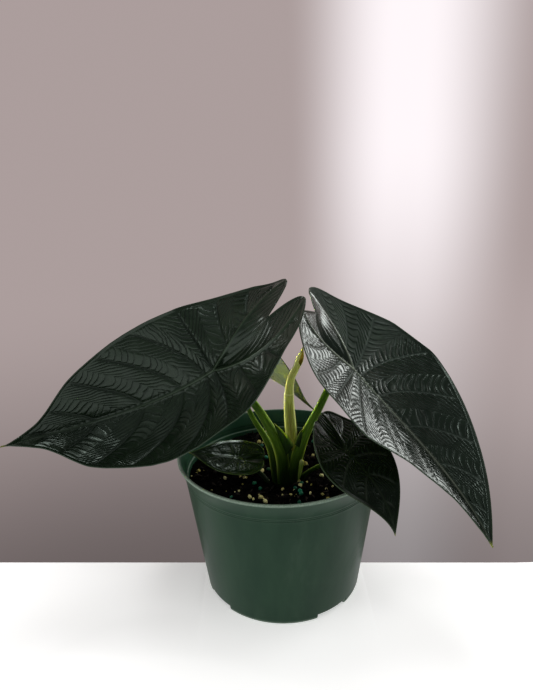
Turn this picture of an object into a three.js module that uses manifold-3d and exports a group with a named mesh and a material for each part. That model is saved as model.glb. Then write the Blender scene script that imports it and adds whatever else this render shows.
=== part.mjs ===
// A potted dragon wing alocasia: a nursery pot of dark soil, a sheathed stem base with leaf stalks,
// a rolled new leaf and five arrow-shaped blades. Millimetres and degrees, +Z up, the origin under
// the middle of the pot, and the viewer of the reference on the -Y side.

import * as THREE from 'three';
import { mergeVertices } from 'three/addons/utils/BufferGeometryUtils.js';
import Module from 'manifold-3d';

const wasm = await Module();
wasm.setup();

// Clearance that touching pieces keep
const GAP = 0.3;
// Where the stem base stands, nearer the viewer than the pot's middle
const CROWN = { x: 3, y: -22 };

const POT = {
  height: 114,
  rimRadius: 82.5,
  lipHeight: 2.2,
  collarHeight: 14,
  collarRadius: 78,
  bodyRadius: 77.2,
  footRadius: 63.5,
  footEdge: 2,
  wall: 1.6,
  floor: 2,
  ledgeDepth: 15,
  ledge: 0.9,
  sides: 64,
  notches: 4,
  notchAzimuth: 225,
  notchWidth: 18,
  notchHeight: 2,
  notchDepth: 5,
};

const SOIL = {
  level: 98,
  edgeDrop: 2.5,
  // waves of the uneven top: turns across x and y in radians per mm, phase and height in mm
  waves: [
    [0.11, 0.05, 0.4, 0.9],
    [-0.06, 0.17, 1.9, 0.8],
    [0.23, -0.19, 0.7, 0.5],
  ],
  sides: 40,
  rings: 7,
  perlite: 34,
  perliteRadius: [1, 2],
  beads: 10,
  beadRadius: 1.6,
  raised: 0.15,
  clearOfStems: 16,
  clearOfPot: 7,
  seed: 27,
};

const STEM = {
  // x, y, z and radius up the stem base
  stations: [
    [3, -21, 64, 7.6],
    [3, -22, 84, 8.4],
    [3, -22, 98, 8.4],
    [4.5, -22, 110, 7.8],
    [7, -22, 121, 6.6],
    [8.5, -22.5, 129, 4.6],
  ],
  sides: 16,
  steps: 9,
  // the stub of a cut leaf stalk, grown from the stem base
  stub: [
    [9, -25, 102, 3],
    [12.5, -27, 110, 2.6],
    [14.5, -28.5, 117, 1.9],
  ],
  stubSteps: 4,
};

const STALKS = {
  petiole_left: {
    stations: [
      [4, -23, 106, 3.4],
      [4.5, -22.5, 119, 4],
      [0, -22, 129.5, 4],
      [-12.5, -22, 151, 3.3],
      [-22, -19, 165, 2.8],
      [-36, -11, 181, 2.4],
      [-44.5, -14.5, 189, 2.4],
      [-48, -24, 190, 2.6],
    ],
    steps: 22,
  },
  petiole_right: {
    stations: [
      [10, -22, 106, 3.2],
      [12.5, -22, 121, 3.6],
      [18, -22, 136, 3.5],
      [30, -21.5, 160, 2.9],
      [38, -17, 174, 2.6],
      [47, -10, 184, 2.4],
      [53, -11, 187, 2.3],
      [55, -17, 185, 2.4],
    ],
    steps: 20,
  },
  petiole_back: {
    stations: [
      [-2, -19, 104, 2.4],
      [-4, -17, 114, 2.4],
      [-9, -15, 126, 2.1],
      [-24, -10, 153, 1.8],
      [-29, -3, 175, 1.6],
      [-26, 5, 189, 1.5],
      [-20, 9, 194, 1.7],
    ],
    steps: 18,
  },
  petiole_front: {
    stations: [
      [13.5, -21, 84, 1.9],
      [14, -22, 98, 1.9],
      [21, -27, 108, 1.7],
      [31, -36, 119, 1.6],
      [42, -48, 132, 1.4],
      [45.5, -54, 138, 1.4],
      [44, -59, 140, 1.5],
    ],
    steps: 16,
  },
  petiole_low: {
    stations: [
      [-10, -22, 84, 1.8],
      [-11, -22, 97, 1.8],
      [-19, -18, 105, 1.5],
      [-28, -13, 109, 1.3],
      [-33, -9, 111.5, 1.5],
    ],
    steps: 12,
  },
};
const STALK_SIDES = 10;

const SHOOT = {
  // x, y, z and radius up the rolled new leaf in its sheath
  stations: [
    [8.5, -22.5, 124, 2.6],
    [8, -23, 134, 3.9],
    [7, -24, 148, 4.1],
    [6.5, -24, 169, 3.4],
    [8, -24.5, 182, 2.9],
    [11.5, -25, 190, 2.3],
    [15, -26, 197.5, 1.9],
    [17, -27, 206.5, 1.1],
  ],
  sides: 12,
  steps: 18,
};

// How a blade is split into triangles, how its side veins crowd and lean, and its relief
const BLADE = {
  thickness: 0.8,
  quilting: 0.8,
  wave: 1.2,
  costaRidge: 1.2,
  ribHeight: 1.3,
  // the half width that the relief's heights are given for
  reliefHalf: 60,
  frontCrowding: 1.8,
  frontRootCrowding: 2.2,
  lobeCrowding: 1.4,
  lobeRootCrowding: 1.3,
  veinLean: 0.7,
  wavePhase: 0.4,
  // shares of the way from the rib to the margin, on large blades and on small ones
  outerColumns: { large: [0, 0.05, 0.2, 0.4, 0.6, 0.8, 0.94, 1], small: [0, 0.08, 0.35, 0.7, 1] },
  innerColumns: { large: [0, 0.3, 0.7, 1], small: [0, 0.5, 1] },
  smallHalf: 40,
  spineStations: 80,
};

// A blade is drawn flat first: a runs along the midrib, from the stalk to the tip, and b across.
// It is then bent: heading, pitch and roll are given at the lobes, the stalk and the tip, like the
// fold of each half, and the curl is how far each half turns from the midrib to its margin.
const BLADES = {
  blade_left: {
    stalk: [-48, -24, 190],
    front: 176, back: 89, sinus: 60, half: 57, widest: 34, lobe: 15,
    point: 0.38, neck: 0.12, belly: 0.8, shoulder: 0.33,
    lobeRound: 0.26, lobeTurn: 0.18, sinusRound: 0.12,
    heading: [183, 158, 252], pitch: [-52, -35, 16], roll: [36, 77, 55],
    foldLeft: [-10, -8, 34], foldRight: [-27, 7, 34], curlLeft: -76, curlRight: -11,
    frontVeins: 7, lobeVeins: 4, rowsPerVein: 3,
  },
  blade_right: {
    stalk: [55, -17, 185],
    front: 155, back: 64, sinus: 53, half: 66, widest: 30, lobe: 20,
    point: 0.22, neck: 0.18, belly: 0.15, shoulder: 0.6,
    lobeRound: 0.55, lobeTurn: 0.02, sinusRound: 0.06,
    heading: [16, -13, -80], pitch: [-70, -49, -30], roll: [-54, -32, 7],
    foldLeft: [-38, -8, 35], foldRight: [17, 27, 35], curlLeft: -19, curlRight: -1,
    frontVeins: 7, lobeVeins: 4, rowsPerVein: 3,
  },
  blade_front: {
    stalk: [44, -59, 140],
    front: 65, back: 31, sinus: 27, half: 31, widest: 3, lobe: 9,
    point: 0.34, neck: 0.15, belly: 0.36, shoulder: 0.5,
    lobeRound: 0.41, lobeTurn: 0.3, sinusRound: 0.3,
    heading: [-20, -40, -52], pitch: [-64, -31, -81], roll: [-4, -8, -26],
    foldLeft: [10, 6, 9], foldRight: [13, 12, 7], curlLeft: 8, curlRight: 6,
    frontVeins: 5, lobeVeins: 3, rowsPerVein: 3,
  },
  blade_low: {
    stalk: [-33, -9, 111.5],
    front: 42, back: 20, sinus: 17.5, half: 17, widest: 2, lobe: 4,
    point: 0.3, neck: 0.3, belly: 0.5, shoulder: 0.5,
    lobeRound: 0.6, lobeTurn: 0.15, sinusRound: 0.3,
    heading: [175, 170, 166], pitch: [-4, 3, -2], roll: [26, 24, 20],
    foldLeft: [8, 8, 8], foldRight: [8, 8, 8], curlLeft: 12, curlRight: 12,
    frontVeins: 5, lobeVeins: 3, rowsPerVein: 2,
  },
  blade_back: {
    stalk: [-20, 9, 194],
    front: 72, back: 34, sinus: 20, half: 23, widest: 5, lobe: 8,
    point: 0.36, neck: 0.12, belly: 0.4, shoulder: 0.5,
    lobeRound: 0.4, lobeTurn: 0.3, sinusRound: 0.3,
    heading: [0, 2, 4], pitch: [-20, -46, -44], roll: [40, 38, 30],
    foldLeft: [8, 10, 14], foldRight: [8, 10, 14], curlLeft: 14, curlRight: 14,
    frontVeins: 5, lobeVeins: 3, rowsPerVein: 2,
  },
};

const FINISH = {
  pot: { color: 0x2f4035, roughness: 0.5, metalness: 0 },
  soil: { color: 0x14100d, roughness: 1, metalness: 0 },
  stalk: { color: 0x33471a, roughness: 0.4, metalness: 0 },
  shoot: { color: 0x8f9f55, roughness: 0.45, metalness: 0 },
  leaf: { color: 0x16261a, roughness: 0.35, metalness: 0 },
  paleLeaf: { color: 0x7a8050, roughness: 0.5, metalness: 0 },
};

// Shared helpers

const radians = THREE.MathUtils.degToRad;

/** A seeded random draw between 0 and 1, the same on every run. */
function makeRandom(seed) {
  let state = seed;
  return () => {
    state = (state + 0x6d2b79f5) | 0;
    let t = Math.imul(state ^ (state >>> 15), 1 | state);
    t = (t + Math.imul(t ^ (t >>> 7), 61 | t)) ^ t;
    return ((t ^ (t >>> 14)) >>> 0) / 4294967296;
  };
}

/** A closed geometry as a manifold solid. */
function solidOf(geometry) {
  const plain = geometry.clone();
  plain.deleteAttribute('normal');
  plain.deleteAttribute('uv');
  const merged = mergeVertices(plain, 1e-4);
  return new wasm.Manifold(new wasm.Mesh({
    numProp: 3,
    vertProperties: Float32Array.from(merged.attributes.position.array),
    triVerts: Uint32Array.from(merged.index.array),
  }));
}

/** A manifold solid as a geometry. */
function geometryOf(solid) {
  const mesh = solid.getMesh();
  const geometry = new THREE.BufferGeometry();
  geometry.setAttribute('position', new THREE.BufferAttribute(mesh.vertProperties, 3));
  geometry.setIndex(new THREE.BufferAttribute(mesh.triVerts, 1));
  geometry.computeVertexNormals();
  return geometry;
}

/** The largest body of a solid: a loose scrap left by a cut is dropped. */
function mainBody(solid) {
  const bodies = solid.decompose();
  bodies.sort((one, other) => other.volume() - one.volume());
  return bodies[0];
}

/** Builds a geometry from a list of points and a list of triangles. */
function meshFrom(points, triangles) {
  const geometry = new THREE.BufferGeometry();
  const flat = points.flatMap((p) => [p.x, p.y, p.z]);
  geometry.setAttribute('position', new THREE.Float32BufferAttribute(flat, 3));
  geometry.setIndex(triangles.flat());
  geometry.computeVertexNormals();
  return geometry;
}

/** A closed round stem through stations of x, y, z and radius, made thicker by grow. */
function taperedStem(stations, sides, steps, grow = 0) {
  const curve = new THREE.CatmullRomCurve3(stations.map(([x, y, z]) => new THREE.Vector3(x, y, z)));
  const widths = new THREE.CatmullRomCurve3(stations.map((s) => new THREE.Vector3(s[3], 0, 0)));
  const frames = curve.computeFrenetFrames(steps, false);
  const points = [];
  for (let i = 0; i <= steps; i++) {
    const t = curve.getUtoTmapping(i / steps);
    const centre = curve.getPoint(t);
    if (i === 0) centre.addScaledVector(frames.tangents[0], -grow);
    if (i === steps) centre.addScaledVector(frames.tangents[steps], grow);
    const radius = widths.getPoint(t).x + grow;
    for (let j = 0; j < sides; j++) {
      const angle = (2 * Math.PI * j) / sides;
      points.push(centre.clone()
        .addScaledVector(frames.normals[i], radius * Math.cos(angle))
        .addScaledVector(frames.binormals[i], radius * Math.sin(angle)));
    }
  }
  const triangles = [];
  for (let i = 0; i < steps; i++) {
    for (let j = 0; j < sides; j++) {
      const here = i * sides + j;
      const beside = i * sides + ((j + 1) % sides);
      triangles.push([here, beside, beside + sides], [here, beside + sides, here + sides]);
    }
  }
  const last = steps * sides;
  for (let j = 1; j < sides - 1; j++) {
    triangles.push([0, j + 1, j], [last, last + j, last + j + 1]);
  }
  return meshFrom(points, triangles);
}

/** A cubic curve in the flat blade, as plain points with a and b. */
function flatCurve(p0, p1, p2, p3, count) {
  const curve = new THREE.CubicBezierCurve(...[p0, p1, p2, p3].map((p) => new THREE.Vector2(...p)));
  return curve.getPoints(count);
}

/** The point at a share of the length of a polyline of Vector2. */
function atShare(line, share) {
  const lengths = [0];
  for (let i = 1; i < line.length; i++) {
    lengths.push(lengths[i - 1] + line[i].distanceTo(line[i - 1]));
  }
  const wanted = THREE.MathUtils.clamp(share, 0, 1) * lengths.at(-1);
  let i = 1;
  while (i < line.length - 1 && lengths[i] < wanted) i++;
  const part = (wanted - lengths[i - 1]) / Math.max(lengths[i] - lengths[i - 1], 1e-9);
  return line[i - 1].clone().lerp(line[i], THREE.MathUtils.clamp(part, 0, 1));
}

/** A law through its values at the lobes, the stalk and the tip, for q from -1 to 1. */
function bendLaw([lobes, stalk, tip], q) {
  return stalk + ((tip - lobes) / 2) * q + ((tip + lobes) / 2 - stalk) * q * q;
}

// Blades

/** The flat outline of one half of a blade, all with b of 0 or more. */
function flatHalf(s) {
  const outer = [
    ...flatCurve([-s.back, s.lobe], [-s.back, s.lobe + s.lobeRound * s.half],
      [s.widest - s.shoulder * (s.back + s.widest), s.half], [s.widest, s.half], 40),
    ...flatCurve([s.widest, s.half], [s.widest + s.belly * (s.front - s.widest), s.half],
      [s.front - s.point * (s.front - s.widest), s.neck * s.half], [s.front, 0], 40).slice(1),
  ];
  const inner = [
    new THREE.Vector2(0, 0),
    ...flatCurve([-s.sinus, 0], [-s.sinus - s.sinusRound * (s.back - s.sinus), 0],
      [-s.back, s.lobe - s.lobeTurn * s.half], [-s.back, s.lobe], 20),
  ];
  const costa = flatCurve([0, 0], [-0.35 * s.back, 0.2 * s.half],
    [-0.8 * s.back, s.lobe + 0.14 * s.half], [-s.back, s.lobe], 30);
  return { outer, inner, costa };
}

/**
 * Where the row at vein number n starts and ends: n is a whole number on each side vein, 0 at the
 * stalk, up to frontVeins at the tip and down to -lobeVeins at the lobe's end. Side veins crowd
 * towards both ends, and those of the front part start together near the stalk.
 */
function rowEnds(s, half, n) {
  const stalkShare = s.back / (s.back + s.front);
  if (n >= 0) {
    const share = 1 - endShare(s, n) ** BLADE.frontCrowding;
    const root = new THREE.Vector2(s.front * share ** BLADE.frontRootCrowding, 0);
    return { root, margin: atShare(half.outer, stalkShare + (1 - stalkShare) * share) };
  }
  const share = 1 - endShare(s, n) ** BLADE.lobeCrowding;
  const inner = share ** BLADE.lobeRootCrowding;
  return { root: atShare(half.costa, inner), margin: atShare(half.outer, stalkShare * (1 - share)), inner };
}

/** How much of its part of the blade is left past vein number n: 1 at the stalk, 0 at either end. */
function endShare(s, n) {
  return Math.max(0, n >= 0 ? 1 - n / s.frontVeins : 1 + n / s.lobeVeins);
}

/** The height of the relief over the flat blade at vein number n and share u from rib to margin. */
function reliefHeight(s, n, u) {
  const size = s.half / BLADE.reliefHalf;
  const end = endShare(s, n);
  const quilt = BLADE.quilting * Math.sin(Math.PI * n) ** 2 * Math.sin(Math.PI * u) * end;
  const wave = BLADE.wave * u ** 3 * Math.sin(Math.PI * (n + BLADE.wavePhase)) * Math.sqrt(end);
  const ridge = n < 0 ? BLADE.costaRidge * (1 - u) ** 3 * Math.sin(Math.PI * end) : 0;
  return size * (quilt + wave + ridge);
}

/** One half's patches as rows of points with a, b, height and rib, all flat. */
function halfPatches(s, side) {
  const half = flatHalf(s);
  const size = s.half < BLADE.smallHalf ? 'small' : 'large';
  const rows = [];
  for (let i = -s.lobeVeins * s.rowsPerVein; i <= s.frontVeins * s.rowsPerVein; i++) {
    rows.push(i / s.rowsPerVein);
  }
  const outer = rows.map((n) => {
    const { root, margin } = rowEnds(s, half, n);
    const rib = BLADE.ribHeight * (s.half / BLADE.reliefHalf) * Math.sqrt(endShare(s, n));
    return BLADE.outerColumns[size].map((u) => ({
      a: root.x + (margin.x - root.x) * (u + BLADE.veinLean * (u * u - u)),
      b: side * (root.y + (margin.y - root.y) * u),
      height: reliefHeight(s, n, u),
      rib: u === 0 ? rib : 0,
    }));
  });
  const innerRows = rows.filter((n) => n <= 0);
  const cornerShare = s.sinus / (s.sinus + half.inner.at(-1).distanceTo(half.inner[1]));
  const shares = innerRows.map((n) => rowEnds(s, half, n).inner ?? 0);
  const nearest = shares.reduce((best, share, i) =>
    (Math.abs(share - cornerShare) < Math.abs(shares[best] - cornerShare) ? i : best), 0);
  const inner = innerRows.map((n, i) => {
    const start = outer[i][0];
    const end = innerPoint(s, half, i === nearest ? cornerShare : shares[i], cornerShare);
    return BLADE.innerColumns[size].map((w) => ({
      a: start.a + (end.x - start.a) * w,
      b: start.b + (side * end.y - start.b) * w,
      height: start.height * (1 - w) ** 2,
      rib: start.rib * (w === 0 ? 1 : 0),
    }));
  });
  return [outer, inner];
}

/** The point of the valley and inner margin at a share of the way from the stalk to the lobe end. */
function innerPoint(s, half, share, cornerShare) {
  if (share <= cornerShare) return new THREE.Vector2((-s.sinus * share) / cornerShare, 0);
  return atShare(half.inner.slice(1), (share - cornerShare) / (1 - cornerShare));
}

/** The bent spine of a blade: stations with the place and the three directions at each. */
function bentSpine(s) {
  const stations = [];
  const step = (s.back + s.front) / BLADE.spineStations;
  for (let i = 0; i <= BLADE.spineStations; i++) {
    const a = -s.back + i * step;
    const q = a < 0 ? a / s.back : a / s.front;
    const heading = radians(bendLaw(s.heading, q));
    const pitch = radians(bendLaw(s.pitch, q));
    const roll = radians(bendLaw(s.roll, q));
    const along = new THREE.Vector3(Math.cos(pitch) * Math.cos(heading),
      Math.cos(pitch) * Math.sin(heading), Math.sin(pitch));
    const upright = new THREE.Vector3(-Math.sin(pitch) * Math.cos(heading),
      -Math.sin(pitch) * Math.sin(heading), Math.cos(pitch));
    const sideways = upright.clone().cross(along);
    const normal = upright.multiplyScalar(Math.cos(roll)).addScaledVector(sideways, Math.sin(roll));
    const across = normal.clone().cross(along);
    const previous = stations.at(-1);
    const place = previous
      ? previous.place.clone().addScaledVector(previous.along.clone().add(along), step / 2)
      : new THREE.Vector3();
    stations.push({ a, place, along, normal, across });
  }
  const shift = new THREE.Vector3(...s.stalk).sub(spineAt(stations, 0).place);
  stations.forEach((station) => station.place.add(shift));
  return stations;
}

/** The spine's place and directions at a, between its stations. */
function spineAt(stations, a) {
  const step = stations[1].a - stations[0].a;
  const at = THREE.MathUtils.clamp((a - stations[0].a) / step, 0, stations.length - 1 - 1e-6);
  const i = Math.floor(at);
  const mix = (name) => stations[i][name].clone().lerp(stations[i + 1][name], at - i);
  return { place: mix('place'), normal: mix('normal').normalize(), across: mix('across').normalize() };
}

/** The bent place of a flat point: each half leaves the midrib at its fold and curls in an arc. */
function bentPoint(s, stations, a, b) {
  const { place, normal, across } = spineAt(stations, a);
  const q = a < 0 ? a / s.back : a / s.front;
  const left = b >= 0;
  const fold = radians(bendLaw(left ? s.foldLeft : s.foldRight, q));
  const curvature = radians(left ? s.curlLeft : s.curlRight) / s.half;
  const turned = fold - curvature * Math.abs(b);
  const reach = (Math.sin(fold) - Math.sin(turned)) / curvature;
  const lift = (Math.cos(turned) - Math.cos(fold)) / curvature;
  return place.addScaledVector(across, left ? reach : -reach).addScaledVector(normal, lift);
}

/** A whole blade as one closed thin solid, with both faces split alike, made thicker by grow. */
function bladeGeometry(s, grow = 0) {
  const keys = new Map();
  const flat = [];
  const indexOf = (p) => {
    const key = `${p.a.toFixed(3)},${(p.b + 0).toFixed(3)}`.replace('-0.000', '0.000');
    if (!keys.has(key)) {
      keys.set(key, flat.length);
      flat.push(p);
    }
    return keys.get(key);
  };
  const faces = [];
  const addFace = (i, j, k) => {
    if (i === j || j === k || k === i) return;
    const [p, q, r] = [flat[i], flat[j], flat[k]];
    const turn = (q.a - p.a) * (r.b - p.b) - (q.b - p.b) * (r.a - p.a);
    faces.push(turn > 0 ? [i, j, k] : [i, k, j]);
  };
  for (const side of [1, -1]) {
    for (const patch of halfPatches(s, side)) {
      for (let i = 0; i + 1 < patch.length; i++) {
        for (let j = 0; j + 1 < patch[i].length; j++) {
          const [row, next] = [patch[i], patch[i + 1]];
          const corner = [row[j], row[j + 1], next[j + 1], next[j]].map(indexOf);
          addFace(corner[0], corner[1], corner[2]);
          addFace(corner[0], corner[2], corner[3]);
        }
      }
    }
  }
  const stations = bentSpine(s);
  const middle = flat.map((p) => bentPoint(s, stations, p.a, p.b));
  const normals = vertexNormals(middle, faces);
  const thick = BLADE.thickness / 2 + grow;
  const raised = (p, i, height) => p.clone().addScaledVector(normals[i], height);
  const top = middle.map((p, i) => raised(p, i, flat[i].height + thick));
  const under = middle.map((p, i) => raised(p, i, flat[i].height - thick - flat[i].rib));
  const count = flat.length;
  const triangles = [...faces, ...faces.map(([i, j, k]) => [i + count, k + count, j + count])];
  for (const [i, j] of openEdges(faces)) {
    triangles.push([i, i + count, j + count], [i, j + count, j]);
  }
  return meshFrom([...top, ...under], triangles);
}

/** Area-weighted normals at the points of a triangle list. */
function vertexNormals(points, faces) {
  const normals = points.map(() => new THREE.Vector3());
  for (const [i, j, k] of faces) {
    const turn = points[j].clone().sub(points[i]).cross(points[k].clone().sub(points[i]));
    for (const corner of [i, j, k]) normals[corner].add(turn);
  }
  return normals.map((n) => n.normalize());
}

/** The directed edges that only one triangle has. */
function openEdges(faces) {
  const edges = new Set(faces.flatMap(([i, j, k]) => [`${i},${j}`, `${j},${k}`, `${k},${i}`]));
  return [...edges].map((edge) => edge.split(',').map(Number)).filter(([i, j]) => !edges.has(`${j},${i}`));
}

// Pot and potting mix

/** The radius of the pot's inner wall at a height. */
function innerRadius(z) {
  const ledgeHeight = POT.height - POT.ledgeDepth;
  const slope = (POT.bodyRadius - POT.footRadius) / (POT.height - POT.collarHeight);
  const inner = POT.footRadius + slope * z - POT.wall;
  return z < ledgeHeight ? inner - POT.ledge : inner;
}

/** The pot: a turned wall with its rim, collar and inner ledge, and drain notches in its foot. */
function potGeometry() {
  const collarZ = POT.height - POT.collarHeight;
  const lipZ = POT.height - POT.lipHeight;
  const ledgeZ = POT.height - POT.ledgeDepth;
  const flare = POT.rimRadius - POT.collarRadius;
  const profile = [
    [0, 0],
    [POT.footRadius - POT.footEdge, 0],
    [POT.footRadius - 0.3 * POT.footEdge, 0.3 * POT.footEdge],
    [POT.footRadius, POT.footEdge],
    [POT.bodyRadius, collarZ],
    [POT.collarRadius, collarZ + 0.8],
    [POT.collarRadius + 0.15 * flare, collarZ + 6],
    [POT.collarRadius + 0.45 * flare, lipZ - 2.4],
    [POT.rimRadius - 0.3, lipZ - 0.6],
    [POT.rimRadius, lipZ],
    [POT.rimRadius, POT.height - 0.5],
    [POT.rimRadius - 0.6, POT.height],
    [POT.rimRadius - 1.8, POT.height],
    [POT.collarRadius + 0.45 * flare - POT.wall, lipZ - 1.4],
    [innerRadius(ledgeZ), ledgeZ],
    [innerRadius(ledgeZ - 0.01), ledgeZ - 1.2],
    [innerRadius(POT.floor + 1.5), POT.floor + 1.5],
    [innerRadius(POT.floor + 1.5) - 1.5, POT.floor],
    [0, POT.floor],
  ].map(([r, z]) => new THREE.Vector2(r, z));
  const turned = new THREE.LatheGeometry(profile, POT.sides).rotateX(Math.PI / 2);
  let solid = solidOf(turned);
  for (let i = 0; i < POT.notches; i++) {
    const azimuth = radians(POT.notchAzimuth) + (2 * Math.PI * i) / POT.notches;
    const notch = new THREE.BoxGeometry(2 * POT.notchDepth, POT.notchWidth, 2 * POT.notchHeight);
    notch.translate(POT.footRadius, 0, 0).rotateZ(azimuth);
    solid = solid.subtract(solidOf(notch));
  }
  return geometryOf(solid);
}

/** The height of the potting mix's surface at a place. */
function soilHeight(x, y) {
  const share = Math.hypot(x, y) / innerRadius(SOIL.level);
  const uneven = SOIL.waves.reduce((sum, [turnX, turnY, phase, height]) =>
    sum + height * Math.sin(turnX * x + turnY * y + phase), 0);
  return SOIL.level + uneven * (1 - share ** 6) - SOIL.edgeDrop * share ** 4;
}

/** The potting mix: it fills the pot, with an uneven top and a few sunk grains and feed beads. */
function soilSolid() {
  const points = [];
  const triangles = [];
  const top = innerRadius(SOIL.level) - GAP;
  const addRing = (radius, height) => {
    for (let j = 0; j < SOIL.sides; j++) {
      const angle = (2 * Math.PI * j) / SOIL.sides;
      const [x, y] = [radius * Math.cos(angle), radius * Math.sin(angle)];
      points.push(new THREE.Vector3(x, y, height ?? soilHeight(x, y)));
    }
  };
  const lowZ = POT.floor + GAP;
  const cornerZ = lowZ + 1.8;
  points.push(new THREE.Vector3(0, 0, soilHeight(0, 0)));
  for (let i = 1; i <= SOIL.rings; i++) addRing((top * i) / SOIL.rings);
  addRing(innerRadius(cornerZ) - GAP, cornerZ);
  addRing(innerRadius(cornerZ) - GAP - 1.9, lowZ);
  points.push(new THREE.Vector3(0, 0, lowZ));
  const ringStart = (i) => 1 + i * SOIL.sides;
  const ringCount = SOIL.rings + 2;
  for (let j = 0; j < SOIL.sides; j++) {
    const next = (j + 1) % SOIL.sides;
    triangles.push([0, ringStart(0) + j, ringStart(0) + next]);
    for (let i = 0; i + 1 < ringCount; i++) {
      const [here, beside] = [ringStart(i) + j, ringStart(i) + next];
      triangles.push([here, here + SOIL.sides, beside + SOIL.sides], [here, beside + SOIL.sides, beside]);
    }
    triangles.push([ringStart(ringCount - 1) + j, points.length - 1, ringStart(ringCount - 1) + next]);
  }
  return withGrains(solidOf(meshFrom(points, triangles)));
}

/** Adds the grains and beads to the potting mix, placed by a seeded draw clear of the stems. */
function withGrains(soil) {
  const random = makeRandom(SOIL.seed);
  const grains = [];
  const reach = innerRadius(SOIL.level) - SOIL.clearOfPot;
  while (grains.length < SOIL.perlite + SOIL.beads) {
    const angle = 2 * Math.PI * random();
    const distance = reach * Math.sqrt(random());
    const [x, y] = [distance * Math.cos(angle), distance * Math.sin(angle)];
    if (Math.hypot(x - CROWN.x, y - CROWN.y) < SOIL.clearOfStems) continue;
    const bead = grains.length < SOIL.beads;
    const radius = bead ? SOIL.beadRadius : THREE.MathUtils.lerp(...SOIL.perliteRadius, random());
    const grain = new THREE.OctahedronGeometry(radius, 0);
    if (!bead) grain.scale(1, 0.7 + 0.3 * random(), 0.7 + 0.2 * random());
    grain.rotateZ(7 * random()).rotateX(7 * random());
    grains.push(solidOf(grain.translate(x, y, soilHeight(x, y) + SOIL.raised * radius)));
  }
  return wasm.Manifold.union([soil, ...grains]);
}

// Assembly

const plant = new THREE.Group();

/** Adds one named piece with its own material. */
function addPiece(name, geometry, finish) {
  const mesh = new THREE.Mesh(geometry, new THREE.MeshStandardMaterial(finish));
  mesh.name = name;
  plant.add(mesh);
}

const grownBlades = new Map();
for (const [name, spec] of Object.entries(BLADES)) {
  addPiece(name, bladeGeometry(spec), name === 'blade_back' ? FINISH.paleLeaf : FINISH.leaf);
  grownBlades.set(name, solidOf(bladeGeometry(spec, GAP)));
}

// Each stalk is cut clear of its blade and of the stalks before it, and the stem base of them all
const shoot = {
  name: 'new_shoot', sides: SHOOT.sides, finish: FINISH.shoot, stations: SHOOT.stations, steps: SHOOT.steps,
};
const stems = Object.entries(STALKS).map(([name, stalk]) => ({
  name, sides: STALK_SIDES, finish: FINISH.stalk, blade: name.replace('petiole', 'blade'), ...stalk,
}));
const cutters = [];
for (const stem of [...stems, shoot]) {
  let solid = solidOf(taperedStem(stem.stations, stem.sides, stem.steps));
  if (stem.blade) solid = solid.subtract(grownBlades.get(stem.blade));
  for (const cutter of cutters) solid = solid.subtract(cutter);
  addPiece(stem.name, geometryOf(mainBody(solid)), stem.finish);
  cutters.push(solidOf(taperedStem(stem.stations, stem.sides, stem.steps, GAP)));
}

let stemBase = solidOf(taperedStem(STEM.stations, STEM.sides, STEM.steps))
  .add(solidOf(taperedStem(STEM.stub, STALK_SIDES, STEM.stubSteps)));
const stemHole = solidOf(taperedStem(STEM.stations, STEM.sides, STEM.steps, GAP))
  .add(solidOf(taperedStem(STEM.stub, STALK_SIDES, STEM.stubSteps, GAP)));
for (const cutter of cutters) stemBase = stemBase.subtract(cutter);
addPiece('stem_base', geometryOf(mainBody(stemBase)), FINISH.stalk);

let soil = soilSolid().subtract(stemHole);
for (const cutter of cutters) soil = soil.subtract(cutter);
addPiece('potting_mix', geometryOf(mainBody(soil)), FINISH.soil);
addPiece('pot', potGeometry(), FINISH.pot);

export default plant;
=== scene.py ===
"""Looks of the potted dragon wing alocasia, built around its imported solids.

Every piece is a numpy surface in millimetres that stands for one solid of the frame: the nursery
pot, the potting mix with its grains, the sheathed crown, the leaf stalks, the rolled new leaf and
the five arrow-shaped blades. The blades repeat the outline, bend and vein laws of the solids, far
finer. Sizes are millimetres and degrees until a mesh is made; +Z is up and the viewer is on -Y.
"""

import logging
import math
from dataclasses import dataclass, field
from enum import Enum

import bpy
import numpy as np
from mathutils import Matrix, Vector

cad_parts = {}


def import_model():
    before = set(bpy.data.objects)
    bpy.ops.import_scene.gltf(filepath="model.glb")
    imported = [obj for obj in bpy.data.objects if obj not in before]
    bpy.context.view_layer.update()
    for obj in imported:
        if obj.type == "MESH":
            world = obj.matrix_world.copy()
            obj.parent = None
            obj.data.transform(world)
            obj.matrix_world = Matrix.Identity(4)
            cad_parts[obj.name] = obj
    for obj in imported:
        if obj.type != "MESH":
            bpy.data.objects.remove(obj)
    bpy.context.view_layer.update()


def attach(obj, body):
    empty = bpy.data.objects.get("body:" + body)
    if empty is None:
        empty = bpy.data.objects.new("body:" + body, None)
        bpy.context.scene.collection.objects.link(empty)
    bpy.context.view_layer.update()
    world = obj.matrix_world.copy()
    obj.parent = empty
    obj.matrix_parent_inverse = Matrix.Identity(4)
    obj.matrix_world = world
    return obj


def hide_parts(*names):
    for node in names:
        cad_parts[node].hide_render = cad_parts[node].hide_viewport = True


LOG = logging.getLogger("alocasia")
MM = 0.001
BODY = "root"
TURN = 2 * math.pi
# the steps of the noise's lattice draws, whose keys have 32 bits
SEED_STEP, KEY_STEP, KEY_SHIFT, KEY_MASK = 668265263, 2654435761, 15, 0xFFFFFFFF
# points worked out between two knots of a smooth curve
KNOT_STEPS = 24
# places that agree to this many digits of a millimetre are welded
WELD_DIGITS = 4
# where in its pitch a cross vein's ridge is highest, and how round its sides are
RIDGE_LEAN = 0.25
RIDGE_ROUND = 0.3

Law = tuple[float, float, float]
Point = tuple[float, float, float]
Colour = tuple[float, float, float]
Station = tuple[float, float, float, float]
Array = np.ndarray
Socket = bpy.types.NodeSocket


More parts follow.
